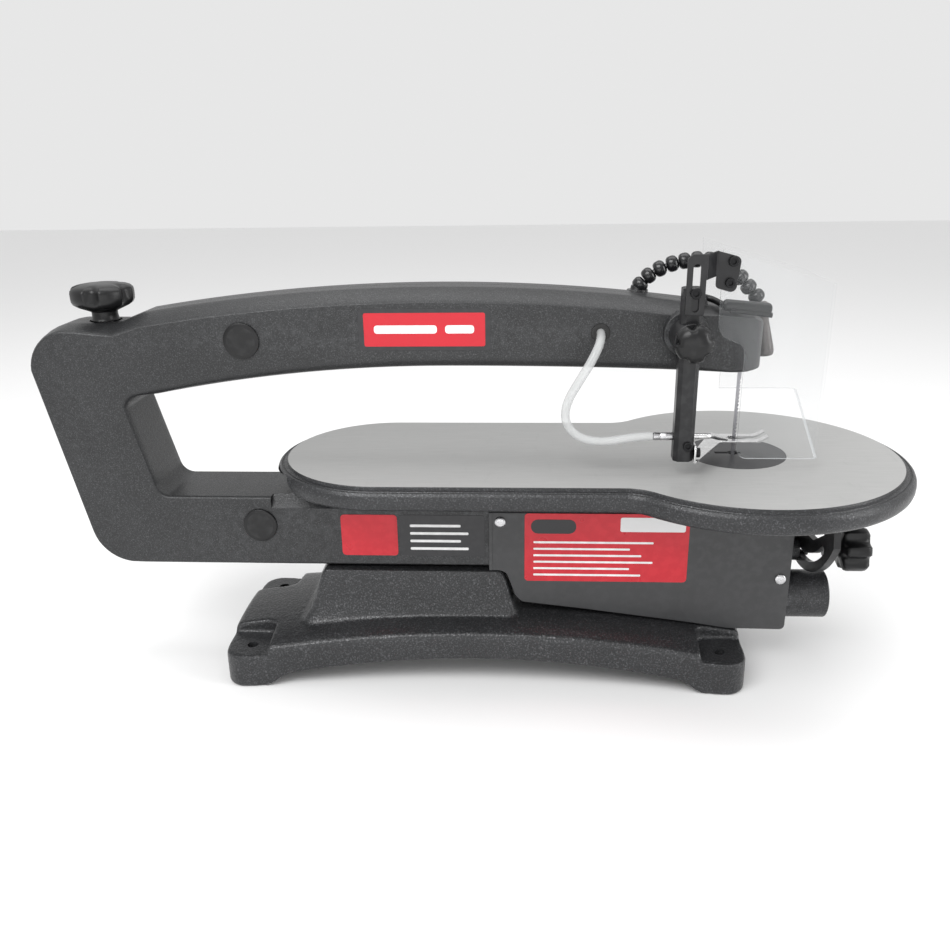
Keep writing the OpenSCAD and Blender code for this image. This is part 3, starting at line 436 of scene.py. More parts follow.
def lathe(bm, profile, at, direction, segments=48, closed=False):
    """Turns (radius, height) points round an axis through at."""
    axis, side, other = axes(direction)
    at = Vector(at)
    rings(bm, [circle(at + axis * h, side, other, max(r, 0.001), segments) for r, h in profile], closed)


def rounded_profile(*corners, n=4):
    """A (radius, height) profile from (radius, height, rounding) corners."""
    out = []
    for i, (r, h, q) in enumerate(corners):
        if not q or i in (0, len(corners) - 1):
            out.append((r, h))
            continue
        a, b, c = Vector(corners[i - 1][:2]), Vector((r, h)), Vector(corners[i + 1][:2])
        q = min(q, (a - b).length * 0.49, (c - b).length * 0.49)
        s, e = b + (a - b).normalized() * q, b + (c - b).normalized() * q
        for k in range(n + 1):
            t = k / n
            out.append(tuple(s * (1 - t) ** 2 + b * 2 * t * (1 - t) + e * t * t))
    return out


def tube(bm, points, radius, sides=16):
    """A round bar along points; radius is one number or one per point."""
    pts = [Vector(p) for p in points]
    ref, loops = None, []
    for i, p in enumerate(pts):
        along = (pts[min(i + 1, len(pts) - 1)] - pts[max(i - 1, 0)]).normalized()
        ref = (ref - along * ref.dot(along)).normalized() if ref else along.orthogonal().normalized()
        r = radius[i] if hasattr(radius, "__len__") else radius
        loops.append(circle(p, ref, along.cross(ref), r, sides))
    rings(bm, loops)


def curve_through(points, steps):
    """A smooth curve through the points."""
    pts = [Vector(p) for p in points]
    out = []
    for i in range(len(pts) - 1):
        a, b, c, d = pts[max(i - 1, 0)], pts[i], pts[i + 1], pts[min(i + 2, len(pts) - 1)]
        for k in range(steps):
            t = k / steps
            out.append(0.5 * (2 * b + (c - a) * t + (2 * a - 5 * b + 4 * c - d) * t * t
                              + (3 * b - a - 3 * c + d) * t ** 3))
    return out + [pts[-1]]


def lobed(bm, profile, at, direction, lobes, hollow, width=0.62, turn=0.0):
    """A turned knob whose outer part has finger hollows: profile is (radius, height, share of the hollow)."""
    axis, side, other = axes(direction)
    segments, loops = 168, []
    for r, h, share in profile:
        loop = []
        for k in range(segments):
            t = 2 * math.pi * k / segments
            phase = abs(((lobes * (t + turn) / (2 * math.pi)) % 1) - 0.5) * 2
            dip = max(0.0, 1 - (phase / width) ** 2) ** 0.85
            q = max(r, 0.001) - hollow * share * dip
            loop.append(Vector(at) + axis * h + q * (side * math.cos(t) + other * math.sin(t)))
        loops.append(loop)
    rings(bm, loops)


def settle(obj, degrees=32):
    """Applies an object's modifiers and shades it again."""
    bpy.context.view_layer.update()
    graph = bpy.context.evaluated_depsgraph_get()
    mesh = bpy.data.meshes.new_from_object(obj.evaluated_get(graph), depsgraph=graph)
    obj.modifiers.clear()
    obj.data = mesh
    bm = bmesh.new()
    bm.from_mesh(mesh)
    smoothed(bm, degrees)
    bm.to_mesh(mesh)
    bm.free()


def socket_screw(bm, at, axis, r, h):
    """Socket cap head standing on at, with its recess."""
    lathe(bm, rounded_profile((0, 0, 0), (r, 0, 0), (r, h, r * 0.12), (r * 0.55, h, 0), (r * 0.5, h - 0.1, 0),
                              (r * 0.5, h * 0.4, 0), (0, h * 0.4, 0)), at, axis, 24)


def pan_head(bm, at, direction, r, h):
    """Domed head standing on at, with a low cross standing on its middle."""
    lathe(bm, [(0, 0), (r, 0), (r, h * 0.25), (r * 0.93, h * 0.6), (r * 0.75, h * 0.86), (r * 0.55, h)],
          at, direction, 32)
    axis, side, other = axes(direction)
    top = Vector(at) + axis * h
    for turn in range(4):
        a = math.pi / 4 + turn * math.pi / 2
        u = side * math.cos(a) + other * math.sin(a)
        v = axis.cross(u)
        w = r * 0.09
        near, far = u * w * 1.5, u * r * 0.5
        corners = [near - v * w, far - v * w * 0.7, far + v * w * 0.7, near + v * w]
        rings(bm, [[top + c - axis * 0.1 for c in corners], [top + c * 1.05 + axis * 0.12 for c in corners]])


def sheet_wall(bm, path, low, high, thick, plane="xy"):
    """A thin wall along an open path, thick to its left, between two levels."""
    pts = [Vector(p) for p in path]
    side = []
    for i, p in enumerate(pts):
        u = (p - pts[i - 1]).normalized() if i else (pts[1] - p).normalized()
        v = (pts[i + 1] - p).normalized() if i < len(pts) - 1 else u
        n1, n2 = Vector((-u.y, u.x)), Vector((-v.y, v.x))
        side.append(p + thick * (n1 + n2) / (1 + n1.dot(n2)))
    prism(bm, [tuple(p) for p in pts] + [tuple(p) for p in side[::-1]], low, high, plane)


def boolean(obj, tool, kind="DIFFERENCE", solver="EXACT"):
    """Cuts a mesh or an object out of obj, adds it, or keeps only what is inside it."""
    if isinstance(tool, bmesh.types.BMesh):
        tool = to_object(obj.name + "_tool", tool, [], merge=0)
    mod = obj.modifiers.new("boolean", "BOOLEAN")
    mod.operation, mod.solver, mod.object = kind, solver, tool
    settle(obj)
    bpy.data.objects.remove(tool)


def join(obj, *others):
    """Puts the others' meshes into obj's."""
    bm = bmesh.new()
    for o in (obj, *others):
        bm.from_mesh(o.data)
    bm.to_mesh(obj.data)
    bm.free()
    for o in others:
        bpy.data.objects.remove(o)


def box(x0, y0, x1, y1):
    return [(x0, y0), (x1, y0), (x1, y1), (x0, y1)]


def block(bm, low, high):
    """A plain box, used as a cutting tool."""
    prism(bm, box(low[0], low[2], high[0], high[2]), low[1], high[1])


def rod(bm, r, start, end, segments=40):
    """A round bar, or a drilled hole where it cuts."""
    along = Vector(end) - Vector(start)
    lathe(bm, [(r, 0), (r, along.length)], start, along, segments)


def flat_shaded(obj):
    """Keeps wide flat faces looking flat beside their rounded edges."""
    mod = obj.modifiers.new("normals", "WEIGHTED_NORMAL")
    mod.keep_sharp = True
    mod.weight = 80
    return obj


# ---- floor

floor_bm = bmesh.new()
bmesh.ops.create_grid(floor_bm, x_segments=1, y_segments=1, size=4)
floor_mesh = bpy.data.meshes.new("floor")
floor_bm.to_mesh(floor_mesh)
floor_bm.free()
floor = bpy.data.objects.new("floor", floor_mesh)
bpy.context.collection.objects.link(floor)
floor_mesh.materials.append(material("floor", (0.86, 0.86, 0.86), 0.6))

# ---- air hose

HOSE_R = 3.2
HOSE_X, HOSE_Z = -108, 101  # where it leaves the arm
NOZZLE_Y, NOZZLE_Z = -50, 29.5
HOSE_ROUTE = [(HOSE_X, -27, HOSE_Z), (HOSE_X, -34, HOSE_Z), (-108.5, -41, 99.5), (-110, -47.5, 96),
              (-113, -52.5, 90.5), (-117, -55.5, 83.5), (-121.5, -56.5, 76), (-126, -56, 68),
              (-130, -54.5, 60), (-132.5, -53, 52), (-133, -51.5, 44), (-130.5, -50.5, 36.5),
              (-125, -50, 30.5), (-117.5, -50, 26.8), (-109, -50, 25.5), (-100, -50, 25.8), (-91, -50, 27.2),
              (-83, -50, 28.5), (-76, -50, 29.3), (-70, NOZZLE_Y, NOZZLE_Z)]
hose_line = curve_through(HOSE_ROUTE, 5)
hose = to_object("hose", solid(tube, hose_line, HOSE_R, 24), HOSE, 50)
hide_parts("air_hose")
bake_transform(hose)

# ---- C-frame

HALF_W, WALL = 30.5, 4  # half the frame's width, and its wall
SEAM_X = -190  # where the drive case meets the lower arm
STEP_X = -361  # rear end of the chamfer that makes room for the tilted table
NOSE_X = 13.55  # the upper arm's front end
NOSE_MID = 13.6 - HALF_W  # and the middle of its rounding
CHAMFER_DROP = 6.6
ARM_MID, ARM_R = (-228, 132), 1407  # top of the upper arm: highest point and radius
UNDER_MID, UNDER_R, UNDER_FRONT_R = (-222, 75.2), 1150, 4500  # and of its underside
PLATEAU_Z = 106.5  # the frame's top round the tension knob
PIVOTS = [(-371, 96), (-371, -51.5)]
TENSION_X = -485
POST, CLAMP_Z = (-48, -50), 101
SLANT = WALL * math.sqrt(2)  # the wall, measured straight down at the chamfer

# How far the frame's outline draws in towards its side face, by distance from the seam
CROWN = [(0, 0.4), (0.4, 0), (12, 0), (14, 0.35), (17, 1.3), (21, 2.9), (25, 5.0), (28.5, 7.2), (30.1, 8.6),
         (30.5, 9.3)]
# Distances from the seam at which a half's outline is drawn
STATIONS = [0, 0.4, 12, 14, 17, 21.5, 24, 26, 27.5, 28.6, 29.5, 30.1, 30.5]


def crown(y):
    """How far the crowned top draws in at y from the seam."""
    for (y0, d0), (y1, d1) in zip(CROWN, CROWN[1:]):
        if y <= y1:
            return d0 + (d1 - d0) * (y - y0) / (y1 - y0)
    return CROWN[-1][1]


def quarter(y, r):
    """How far an edge with a round of radius r draws in at y from the seam."""
    return r - math.sqrt(max(0.0, r * r - max(0.0, y - HALF_W + r) ** 2))


def arch(mid, r, x):
    """Height at x of the arc of radius r whose highest point is mid."""
    return mid[1] - r + math.sqrt(r * r - (x - mid[0]) ** 2)


def steps_between(a, b, n):
    return [a + (b - a) * i / n for i in range(n + 1)]


def frame_outline():
    """Side outline of the C-frame, counter-clockwise, with the edge's shape at each point: shares of the
    crowned edge, of a 9 mm round and of a 3 mm round."""
    low, top, under, inner = (0.35, 0, 0.5), (1, 0, 0), (0, 1, 0), (0, 0, 1)
    pts = [((x, -88.5), low) for x in steps_between(-170, -470, 12)]
    pts += [(p, low) for p in arc(-476, -52, 36.5, 262, 192, 9)]
    pts += [(p, low) for p in arc(-504, 72, 34.5, 178, 96, 10)]
    pts += [((x, PLATEAU_Z), tuple(a + (b - a) * t for a, b in zip(low, top)))
            for x, t in ((-498, 0.1), (-484, 0.4), (-470, 0.7))]
    pts += [((x, arch(ARM_MID, ARM_R, x)), tuple(w * min(1, max(0.35, (5 - x) / 60)) for w in top))
            for x in steps_between(-449, 3, 36)]
    nose = round_corners([(3, 110.5), (NOSE_X, 105), (NOSE_X - 0.6, 69.6), (-2, 69.8)], [0, 5, 3, 0], 5)[1:-1]
    pts += [(p, (0.2, 0, 0.1)) for p in nose]
    pts += [((x, arch(UNDER_MID, UNDER_FRONT_R, x)), (0, min(1, max(0.3, -x / 60)), 0))
            for x in steps_between(-2, -221, 18)]
    pts += [((x, arch(UNDER_MID, UNDER_R, x)), under) for x in steps_between(-235, -442, 16)]
    pts += [(p, (0, 0.5, 0.5)) for p in arc(-454, 40, 13, 105, 170, 6)]
    pts += [(p, inner) for p in arc(-441, -16, 12, 193, 268, 8)]
    pts += [((x, -28), inner) for x in steps_between(-425, -170, 12)]
    return pts[::-1]


def round_nose(bm, r, end):
    """Makes the arm's end round in plan: sides at radius r, the arm cut off at end."""
    stops = [NOSE_MID + r * math.sin(math.radians(a)) for a in range(0, 88, 5)]
    for x in [s for s in stops if s < end - 0.2] + [end]:
        geom = bm.verts[:] + bm.edges[:] + bm.faces[:]
        bmesh.ops.bisect_plane(bm, geom=geom, dist=1e-5, plane_co=(x, 0, 0), plane_no=(1, 0, 0),
                               clear_outer=(x == end))
    for v in bm.verts:
        if v.co.x > NOSE_MID and v.co.z > 60:
            v.co.y *= math.sqrt(max(0.0004, 1 - ((v.co.x - NOSE_MID) / r) ** 2))
    bmesh.ops.holes_fill(bm, edges=bm.edges[:], sides=0)


def wedge(bm, x0, x1, deeper=0.0):
    """Room for the tilted table: everything above a 45 degree slope."""
    z = -CHAMFER_DROP - deeper
    prism(bm, [(-60, z - 60), (40, z + 40), (-60, z + 40)], x0, x1, "yz")


OUTLINE, EDGES = zip(*frame_outline())
MITRES = [Vector(q) - Vector(p) for p, q in zip(OUTLINE, inset(OUTLINE, 1))]


def frame_loop(y, offsets):
    """The outline at y, each point drawn in by its own offset."""
    return [(p[0] + m.x * d, y, p[1] + m.y * d) for p, m, d in zip(OUTLINE, MITRES, offsets)]


def frame_half(name, node_name, side):
    """One cast half of the C-frame; side is -1 for the operator's left."""
    bm = bmesh.new()
    rings(bm, [frame_loop(side * y, [a * crown(y) + b * quarter(y, 9) + c * quarter(y, 3)
                                     for a, b, c in EDGES]) for y in STATIONS])
    round_nose(bm, HALF_W, NOSE_X)
    obj = to_object(name, bm, CASTING)

    # The cavity follows the outside, but less deep at the tight corners of the nose.
    bm = bmesh.new()
    loops = []
    for y in [-1] + [y - WALL for y in STATIONS if y > WALL + 1]:
        outer = max(0.5, y + WALL)
        loops.append(frame_loop(side * y, [
            min(WALL + a * crown(outer) + b * quarter(outer, 9), 2.8 if p[0] > 3 else 20)
            for p, (a, b, c) in zip(OUTLINE, EDGES)]))
    rings(bm, loops)
    round_nose(bm, HALF_W - WALL, NOSE_X - WALL)
    cavity = to_object("cavity", bm, [])
    if side < 0:
        boolean(cavity, solid(wedge, STEP_X - WALL, SEAM_X + 30, SLANT))
    boolean(obj, cavity)

    # Pivot bosses and the boss behind the post's clamp
    bm = bmesh.new()
    for x, z in PIVOTS:
        rod(bm, 12, (x, side * 10.5, z), (x, side * (HALF_W - 2), z))
    if side < 0:
        lathe(bm, rounded_profile((0, 0, 0), (16, 0, 0), (16, 10.5, 1), (0, 10.5, 0)),
              (POST[0], WALL - HALF_W - 0.01, CLAMP_Z), (0, -1, 0))
    boolean(obj, bm, "UNION")

    # The drive case's place, the blade's way out, the tension knob's well, the pivots and the hose
    bm = bmesh.new()
    block(bm, (SEAM_X, -HALF_W - 1, -90), (SEAM_X + 30, HALF_W + 1, -26))
    rod(bm, 10.5, (0, 0, 51), (0, 0, 80.5))
    lathe(bm, [(0, 85), (5.5, 85), (5.5, 103.7), (12, 103.7), (12, 120), (0, 120)], (TENSION_X, 0, 0),
          (0, 0, 1))
    for x, z in PIVOTS:
        rod(bm, 6, (x, -HALF_W - 2, z), (x, HALF_W + 2, z))
    if side < 0:
        rod(bm, 4.2, (HOSE_X, -40, HOSE_Z), (HOSE_X, -10, HOSE_Z))
    boolean(obj, bm)
    if side < 0:
        boolean(obj, solid(wedge, STEP_X, SEAM_X + 1))
    place(flat_shaded(obj), "frame", node_name)


frame_half("frame_left", "housing_left", -1)
frame_half("frame_right", "housing_right", 1)

# ---- drive case, side cover, dust stub

CASE = [(-190, -88.5), (-181, -88.5), (-176, -91), (-169, -111), (-164, -116), (-116, -121.5), (-28, -133),
        (0, -137.5), (45, -138), (45, -28), (-190, -28)]
CASE_OUTLINE = round_corners(CASE, [0, 5, 6, 6, 8, 30, 40, 20, 4, 4, 0], 5)
CASE_INSIDE = [(-191, -84), (-181, -84), (-172, -88), (-165, -107), (-161, -112), (-116, -117.5), (-28, -129),
               (0, -133.5), (41, -134), (41, -32), (-191, -32)]
COVER_T = 2
COVER_SCREWS = [(-181, -46.5), (37.5, -93)]
CRANK = (-110, -88)
DUST_Y, DUST_Z = -13, -115
CASE_END = 46  # just past the case's front face

case = to_object("case", solid(prism, CASE_OUTLINE, -HALF_W, HALF_W, edge=1.8, steps=3), CASTING)
inside = to_object("case_inside", solid(prism, CASE_INSIDE, -HALF_W - 1, HALF_W - WALL), [])
boolean(inside, solid(wedge, SEAM_X - 2, CASE_END, SLANT))
boolean(case, inside)
# The blade's way down, the crank's shaft, the dust stub and the bellows' pipe
bm = bmesh.new()
rod(bm, 10.5, (0, 0, -48), (0, 0, -18))
rod(bm, 6, (CRANK[0], 5, CRANK[1]), (CRANK[0], 32, CRANK[1]))
rod(bm, 16.5, (40, DUST_Y, DUST_Z), (CASE_END, DUST_Y, DUST_Z))
rod(bm, 3.5, (-30, 5, -112), (-30, 32, -112))
boolean(case, bm)
boolean(case, solid(wedge, SEAM_X - 1, CASE_END))
place(flat_shaded(case), "frame", "drive_case")

cover = to_object("cover", solid(prism, CASE_OUTLINE, -HALF_W - COVER_T, -HALF_W - 0.02, edge=0.7), COVER)
boolean(cover, solid(wedge, SEAM_X - 1, CASE_END))
# The pressed line at the cover's rear edge, and its screw holes
bm = bmesh.new()
block(bm, (-187.4, -33, -89), (-186.8, -32.1, -39))
for x, z in COVER_SCREWS:
    rod(bm, 2.2, (x, -34, z), (x, -29, z))
boolean(cover, bm)
place(flat_shaded(cover), "frame", "side_cover")
bm = bmesh.new()
for x, z in COVER_SCREWS:
    rod(bm, 2.1, (x, -HALF_W + 1, z), (x, -HALF_W - COVER_T, z))
    pan_head(bm, (x, -HALF_W - COVER_T, z), (0, -1, 0), 4.4, 2.1)
place(to_object("cover_screws", bm, STEEL), "frame", "side_cover_screws")

bm = bmesh.new()
lathe(bm, rounded_profile((16.5, 0, 0), (19, 0, 0), (19, 30, 0), (19, 33, 1.2), (16.5, 33, 1), (16.5, 30, 0)),
      (45, DUST_Y, DUST_Z), (1, 0, 0), 56, closed=True)
place(to_object("dust_stub", bm, RIM), "frame", "dust_port")

# ---- pivot caps

bm = bmesh.new()
for x, z in PIVOTS:
    for s in (-1, 1):
        lathe(bm, rounded_profile((0, 0, 0), (13.5, 0, 0), (13.5, 1.6, 0.6), (11, 2.2, 0.5), (0, 2.2, 0)),
              (x, s * HALF_W, z), (0, s, 0))
place(to_object("caps", bm, BLACK_PLASTIC), "frame", "pivot_caps")

# ---- base

BASE_X, BASE_Y = 206, 70  # half length and half width
BASE_CORNER, ARCH_X = 16, 178  # plan radius of its corners, half span of the arch under it
HOLES = [(sx * 186, sy * 51) for sx in (-1, 1) for sy in (-1, 1)]


def base_half_width(x):
    """Half width at x: round corners, and sides that curve in between them."""
    past = abs(x) - BASE_X + BASE_CORNER
    if past > 0:
        return BASE_Y - BASE_CORNER + math.sqrt(max(0.0, BASE_CORNER ** 2 - past ** 2))
    return BASE_Y - 10 * max(0.0, 1 - (x / 190) ** 2)


def pad_outline(sx, sy, grow=0):
    """The level corner round a bolt hole, open to the outside."""
    pts = round_corners(box(169 - grow, 31 - grow, 230, 90), [9, 0, 0, 0], 6)
    return [(sx * px, sy * py) for px, py in pts]


def base_underside(x):
    """The arch between the feet, running into them in a hollow curve."""
    t = min(1.0, max(0.0, (ARCH_X - abs(x)) / 26))
    return (8 + 16 * (1 - (x / ARCH_X) ** 2)) * t * t * (3 - 2 * t)


def base_solid(bm, d, floor_z):
    """The base's body, lofted along X from floor_z up; d draws every wall in."""
    span = BASE_X - d
    ends = [span - 5 * (1 - math.cos(math.radians(a))) for a in range(0, 91, 18)]
    ends = [round(e, 3) for e in ends] + [span - 7, span - 10, span - 13]
    stops = sorted({-e for e in ends} | set(steps_between(-span + 16, span - 16, 60)) | set(ends))
    loops = []
    for x in stops:
        w = base_half_width(x * BASE_X / span) - d
        soft = 5 * (1 - math.sqrt(max(0.0, 1 - max(0.0, (abs(x) - span + 5) / 5) ** 2)))
        h = 30 + 16 * (1 - (x / BASE_X) ** 2) - d - soft
        half = [(w, floor_z), (w, h - 5)] + arc(w - 5, h - 5, 5, 20, 80, 3)
        half += [(w * s, h + 6.5 * (1 - s * s)) for s in (0.85, 0.65, 0.4, 0.2)]
        loops.append([(x, y, z) for y, z in half] + [(x, 0, h + 6.5)] + [(x, -y, z) for y, z in half[::-1]])
    rings(bm, loops)


def cast_skin(obj, passes):
    """One even skin over the joined solids, its corners softened as sand casting leaves them."""
    mod = obj.modifiers.new("cast", "REMESH")
    mod.mode, mod.voxel_size, mod.use_smooth_shade = "VOXEL", 0.0013, True
    smooth = obj.modifiers.new("soft", "SMOOTH")
    smooth.factor, smooth.iterations = 0.5, passes
    settle(obj, 60)


def to_base(bm):
    """Turns heights and distances from the base's own middle into the drawing's."""
    bmesh.ops.translate(bm, verts=bm.verts, vec=-ORIGIN)
    return bm


base = to_object("base", to_base(solid(base_solid, 0, 0)), BASE_CASTING)
bm = bmesh.new()
# (height, rear end, front end, half width, corner radius)
PEDESTAL = ((30, -150, 36, 44, 10), (44, -147, 33, 42, 10), (50, -143, 29, 38.5, 8), (62, -137, 24, 36.5, 6),
            (82, -131, 18, 34.6, 4), (87.5, -127, 14, 34, 3))
rings(bm, [[(px, py, z) for px, py in round_corners(box(x0, -y, x1, y), r, 6)]
           for z, x0, x1, y, r in PEDESTAL])
boolean(base, to_base(bm), "UNION")
cast_skin(base, 4)
hollow = to_object("base_hollow", to_base(solid(base_solid, 7, -1)), [])
bm = bmesh.new()
for x, y in HOLES:
    rod(bm, 14, (x, y, -2), (x, y, 20.9))
    prism(bm, pad_outline(x / 186, y / 51, 5), 21, 60, "xy")
boolean(hollow, to_base(bm), solver="MANIFOLD")
boolean(base, hollow, solver="MANIFOLD")
bm = bmesh.new()
for x, y in HOLES:
    prism(bm, pad_outline(x / 186, y / 51), 28, 60, "xy")
boolean(base, to_base(bm), solver="MANIFOLD")
cast_skin(base, 8)
bm = bmesh.new()
arch_top = [(x, base_underside(x) + 0.02) for x in steps_between(-ARCH_X, ARCH_X, 72)]
prism(bm, [(-ARCH_X, -5)] + arch_top + [(ARCH_X, -5)], -90, 90)
boolean(base, to_base(bm), solver="MANIFOLD")
bm = bmesh.new()
for x, y in HOLES:
    rod(bm, 4.5, (x, y, -5), (x, y, 60))
boolean(base, to_base(bm), solver="MANIFOLD")
base.data.materials.clear()
base.data.materials.append(BASE_CASTING)
place(base, "frame", "base_casting")

# ---- table and insert

TABLE_R, TABLE_MID, TABLE_W, TABLE_TAIL, WAIST = 117, 7.6, 79, 271, 30
INSERT = (2, 0)


def table_loop(d, z):
    """Plan of the table grown outwards by d, at height z."""
    reach = math.sqrt((TABLE_R + WAIST) ** 2 - (TABLE_W + WAIST) ** 2)
    foot_x = TABLE_MID - reach
    a = math.degrees(math.atan2(TABLE_W + WAIST, -reach))
    right = arc(TABLE_MID, 0, TABLE_R + d, -a, a, 96)
    upper = arc(foot_x, TABLE_W + WAIST, WAIST - d, a - 180, -90, 10)[1:]
    rear = arc(-TABLE_TAIL, 0, TABLE_W + d, 90, 270, 64)
    lower = arc(foot_x, -TABLE_W - WAIST, WAIST - d, 90, 180 - a, 10)[:-1]
    return [(x, y, z) for x, y in right + upper + rear + lower]


# (distance outside the plan, height), from the underside round the rim to the ground top
RIM_SECTION = [(-4, -4), (-4, -16.4), (-3.4, -17), (3.5, -17), (5.5, -16.3), (7, -14.5), (7.8, -12), (8, -9),
               (7.7, -6.4), (6.8, -4.3), (5.4, -2.9), (4.3, -2.75), (3.9, -3.2), (3.4, -3.2), (2.9, -2.5),
               (1.4, -2.4), (0.5, -2.0), (0.15, -0.5), (-0.35, 0)]
table = to_object("table", solid(rings, [table_loop(d, z) for d, z in RIM_SECTION]), [TABLE, RIM])
bm = bmesh.new()
lathe(bm, [(30, -20), (30, -3), (38.1, -3), (38.1, 1)], (*INSERT, 0), (0, 0, 1), 96)
prism(bm, [(-63, -18), (-49.2, -3.9), (-23, -3.9), (-8, -18)], -370, -291, "yz")
boolean(table, bm)
for f in table.data.polygons:
    on_top = f.normal.z > 0.5 and f.center.z > (ORIGIN.z - 0.2) / 1000
    f.material_index = 0 if on_top else 1
place(flat_shaded(table), "table", "table_casting")

bm = bmesh.new()
lathe(bm, rounded_profile((0, -3, 0), (38, -3, 0), (38, 0, 0.5), (0, 0, 0)), (*INSERT, 0), (0, 0, 1), 96)
insert_disc = to_object("insert_disc", bm, INSERT_PLASTIC)
boolean(insert_disc, solid(block, (-14, -2.2, -4), (6, 2.2, 1)))
boolean(insert_disc, solid(rod, 4.5, (0, 0, -4), (0, 0, 1)))
place(flat_shaded(insert_disc), "table", "table_insert")

# ---- knobs

bm = bmesh.new()
lobed(bm, [(0, -3.4, 0), (10.6, -3.4, 0), (9.9, -2.2, 0), (9.5, 0.5, 0), (9.6, 3, 0), (13, 4.6, 0),
           (19, 7.2, 0.1), (22.2, 9.4, 0.4), (23.3, 11.6, 0.75), (23.5, 14, 0.95), (23.5, 18, 1),
           (23.1, 20, 1), (21.6, 21.6, 1), (18.5, 22.8, 0.75), (13, 23.7, 0.25), (6, 24, 0),
           (0.01, 24.05, 0)],
      (TENSION_X, 0, PLATEAU_Z + 4), (0, 0, 1), 5, 4.2, 0.42, turn=0.4)
place(to_object("tension_knob_grip", bm, BLACK_PLASTIC, 60), "tension_knob_body", "tension_knob")
bm = bmesh.new()
lobed(bm, [(0, 0, 0), (8, 0, 0), (8.1, 1.4, 0), (6.7, 2.6, 0), (6.6, 10.6, 0), (8.4, 11.9, 0),
           (15.6, 12.6, 0.85), (17.8, 13.8, 1), (18.6, 16.4, 1), (18.6, 28.6, 1), (18.1, 31, 1),
           (16.4, 32.7, 0.9), (12.4, 33.6, 0.5), (6, 34, 0.05), (0.01, 34, 0)],
      (79, 0, -81), (1, 0, 0), 6, 4.4)
place(to_object("tilt_knob_grip", bm, BLACK_PLASTIC, 60), "tilt_lock", "tilt_lock_knob")
bm = bmesh.new()
rod(bm, 3, (POST[0], POST[1] - 7.5, CLAMP_Z), (POST[0], -66, CLAMP_Z))
lobed(bm, [(0, 0, 0), (8.5, 0, 0), (11.6, 1, 0.9), (12.9, 3, 1), (13.4, 5.6, 1), (13.1, 7.6, 0.9),
           (12.2, 9.6, 0.45), (10.4, 11.5, 0.1), (7.6, 12.8, 0), (4, 13.5, 0), (0.01, 13.7, 0)],
      (POST[0], -63.5, CLAMP_Z), (0, -1, 0), 5, 3.2, 0.4, turn=0.3)
place(to_object("post_knob_grip", bm, BLACK_PLASTIC, 60), "post_knob", "post_clamp_knob")

# ---- hold-down post and its bracket

POST_HALF = 7.2
FOOT_SCREW_Z = 17
STRAP_X, STRAP_SCREW_Z = -47.5, 133.4


def post_plan(half):
    """A square round the post's middle with its corners cut off by 3 mm."""
    points, out = box(POST[0] - half, POST[1] - half, POST[0] + half, POST[1] + half), []
    for i in range(4):
        a, b, c = corner(points, i)
        out += [tuple(b + (end - b).normalized() * 3) for end in (a, c)]
    return out


post = to_object("post", solid(prism, post_plan(POST_HALF), 12, 136, "xy", edge=0.9), BLACK_METAL)
bm = bmesh.new()
rod(bm, 2.2, (-60, POST[1], NOZZLE_Z), (-36, POST[1], NOZZLE_Z))
rod(bm, 2, (-46, POST[1], FOOT_SCREW_Z), (-36, POST[1], FOOT_SCREW_Z))
rod(bm, 2, (STRAP_X, -60, STRAP_SCREW_Z), (STRAP_X, -50, STRAP_SCREW_Z))
boolean(post, bm)
place(flat_shaded(post), "post", "foot_post")

bm = bmesh.new()
lathe(bm, rounded_profile((0, 0, 0), (12.5, 0, 0), (12.5, 26, 1), (0, 26, 0)), (POST[0], -37, CLAMP_Z),
      (0, -1, 0))
clamp = to_object("clamp_ring", bm, BLACK_METAL)
boolean(clamp, solid(prism, post_plan(POST_HALF + 0.1), 80, 120, "xy"))
boolean(clamp, solid(rod, 3.05, (POST[0], -64, CLAMP_Z), (POST[0], -50, CLAMP_Z)))
place(flat_shaded(clamp), "frame", "post_clamp_block")

STRAP_Y, GUARD_Y = -57.2, -39  # back of the strap, and the guard's near side
GUARD_SCREWS = [(-20.3, 152), (-21.5, 137.5)]
bm = bmesh.new()
prism(bm, round_corners([(-54, 118), (-41, 118), (-41, 159), (-51, 159), (-54, 156)], [2, 1, 0, 3, 3], 4),
      STRAP_Y - 2, STRAP_Y, edge=0.4)
bracket = to_object("bracket", bm, BLACK_METAL)
boolean(bracket, solid(prism, arc(STRAP_X, 150, 2.6, 0, 180, 8) + arc(STRAP_X, 123, 2.6, 180, 360, 8),
                       STRAP_Y - 4, STRAP_Y + 2))
bm = bmesh.new()
prism(bm, round_corners([(-31, 134), (-17, 130), (-14.5, 154.5), (-31, 159)], [3, 4, 4, 0], 5),
      GUARD_Y - 2, GUARD_Y - 0.01, edge=0.4)
plate_part = to_object("bracket_plate", bm, BLACK_METAL)
bm = bmesh.new()
for x, z in GUARD_SCREWS:
    rod(bm, 2.1, (x, GUARD_Y - 4, z), (x, GUARD_Y + 2, z))
boolean(plate_part, bm)
bm = bmesh.new()
prism(bm, [(-41.2, STRAP_Y - 2), (-40.6, STRAP_Y - 2.05), (-31.6, GUARD_Y - 2.4), (-30.4, GUARD_Y - 2),
           (-30, GUARD_Y), (-31, GUARD_Y + 0.05), (-40.4, STRAP_Y - 0.2), (-41.2, STRAP_Y)],
      142, 159, "xy", edge=0.4)
wing = to_object("bracket_wing", bm, BLACK_METAL)
join(bracket, plate_part, wing)
place(flat_shaded(bracket), "guard", "guard_bracket")

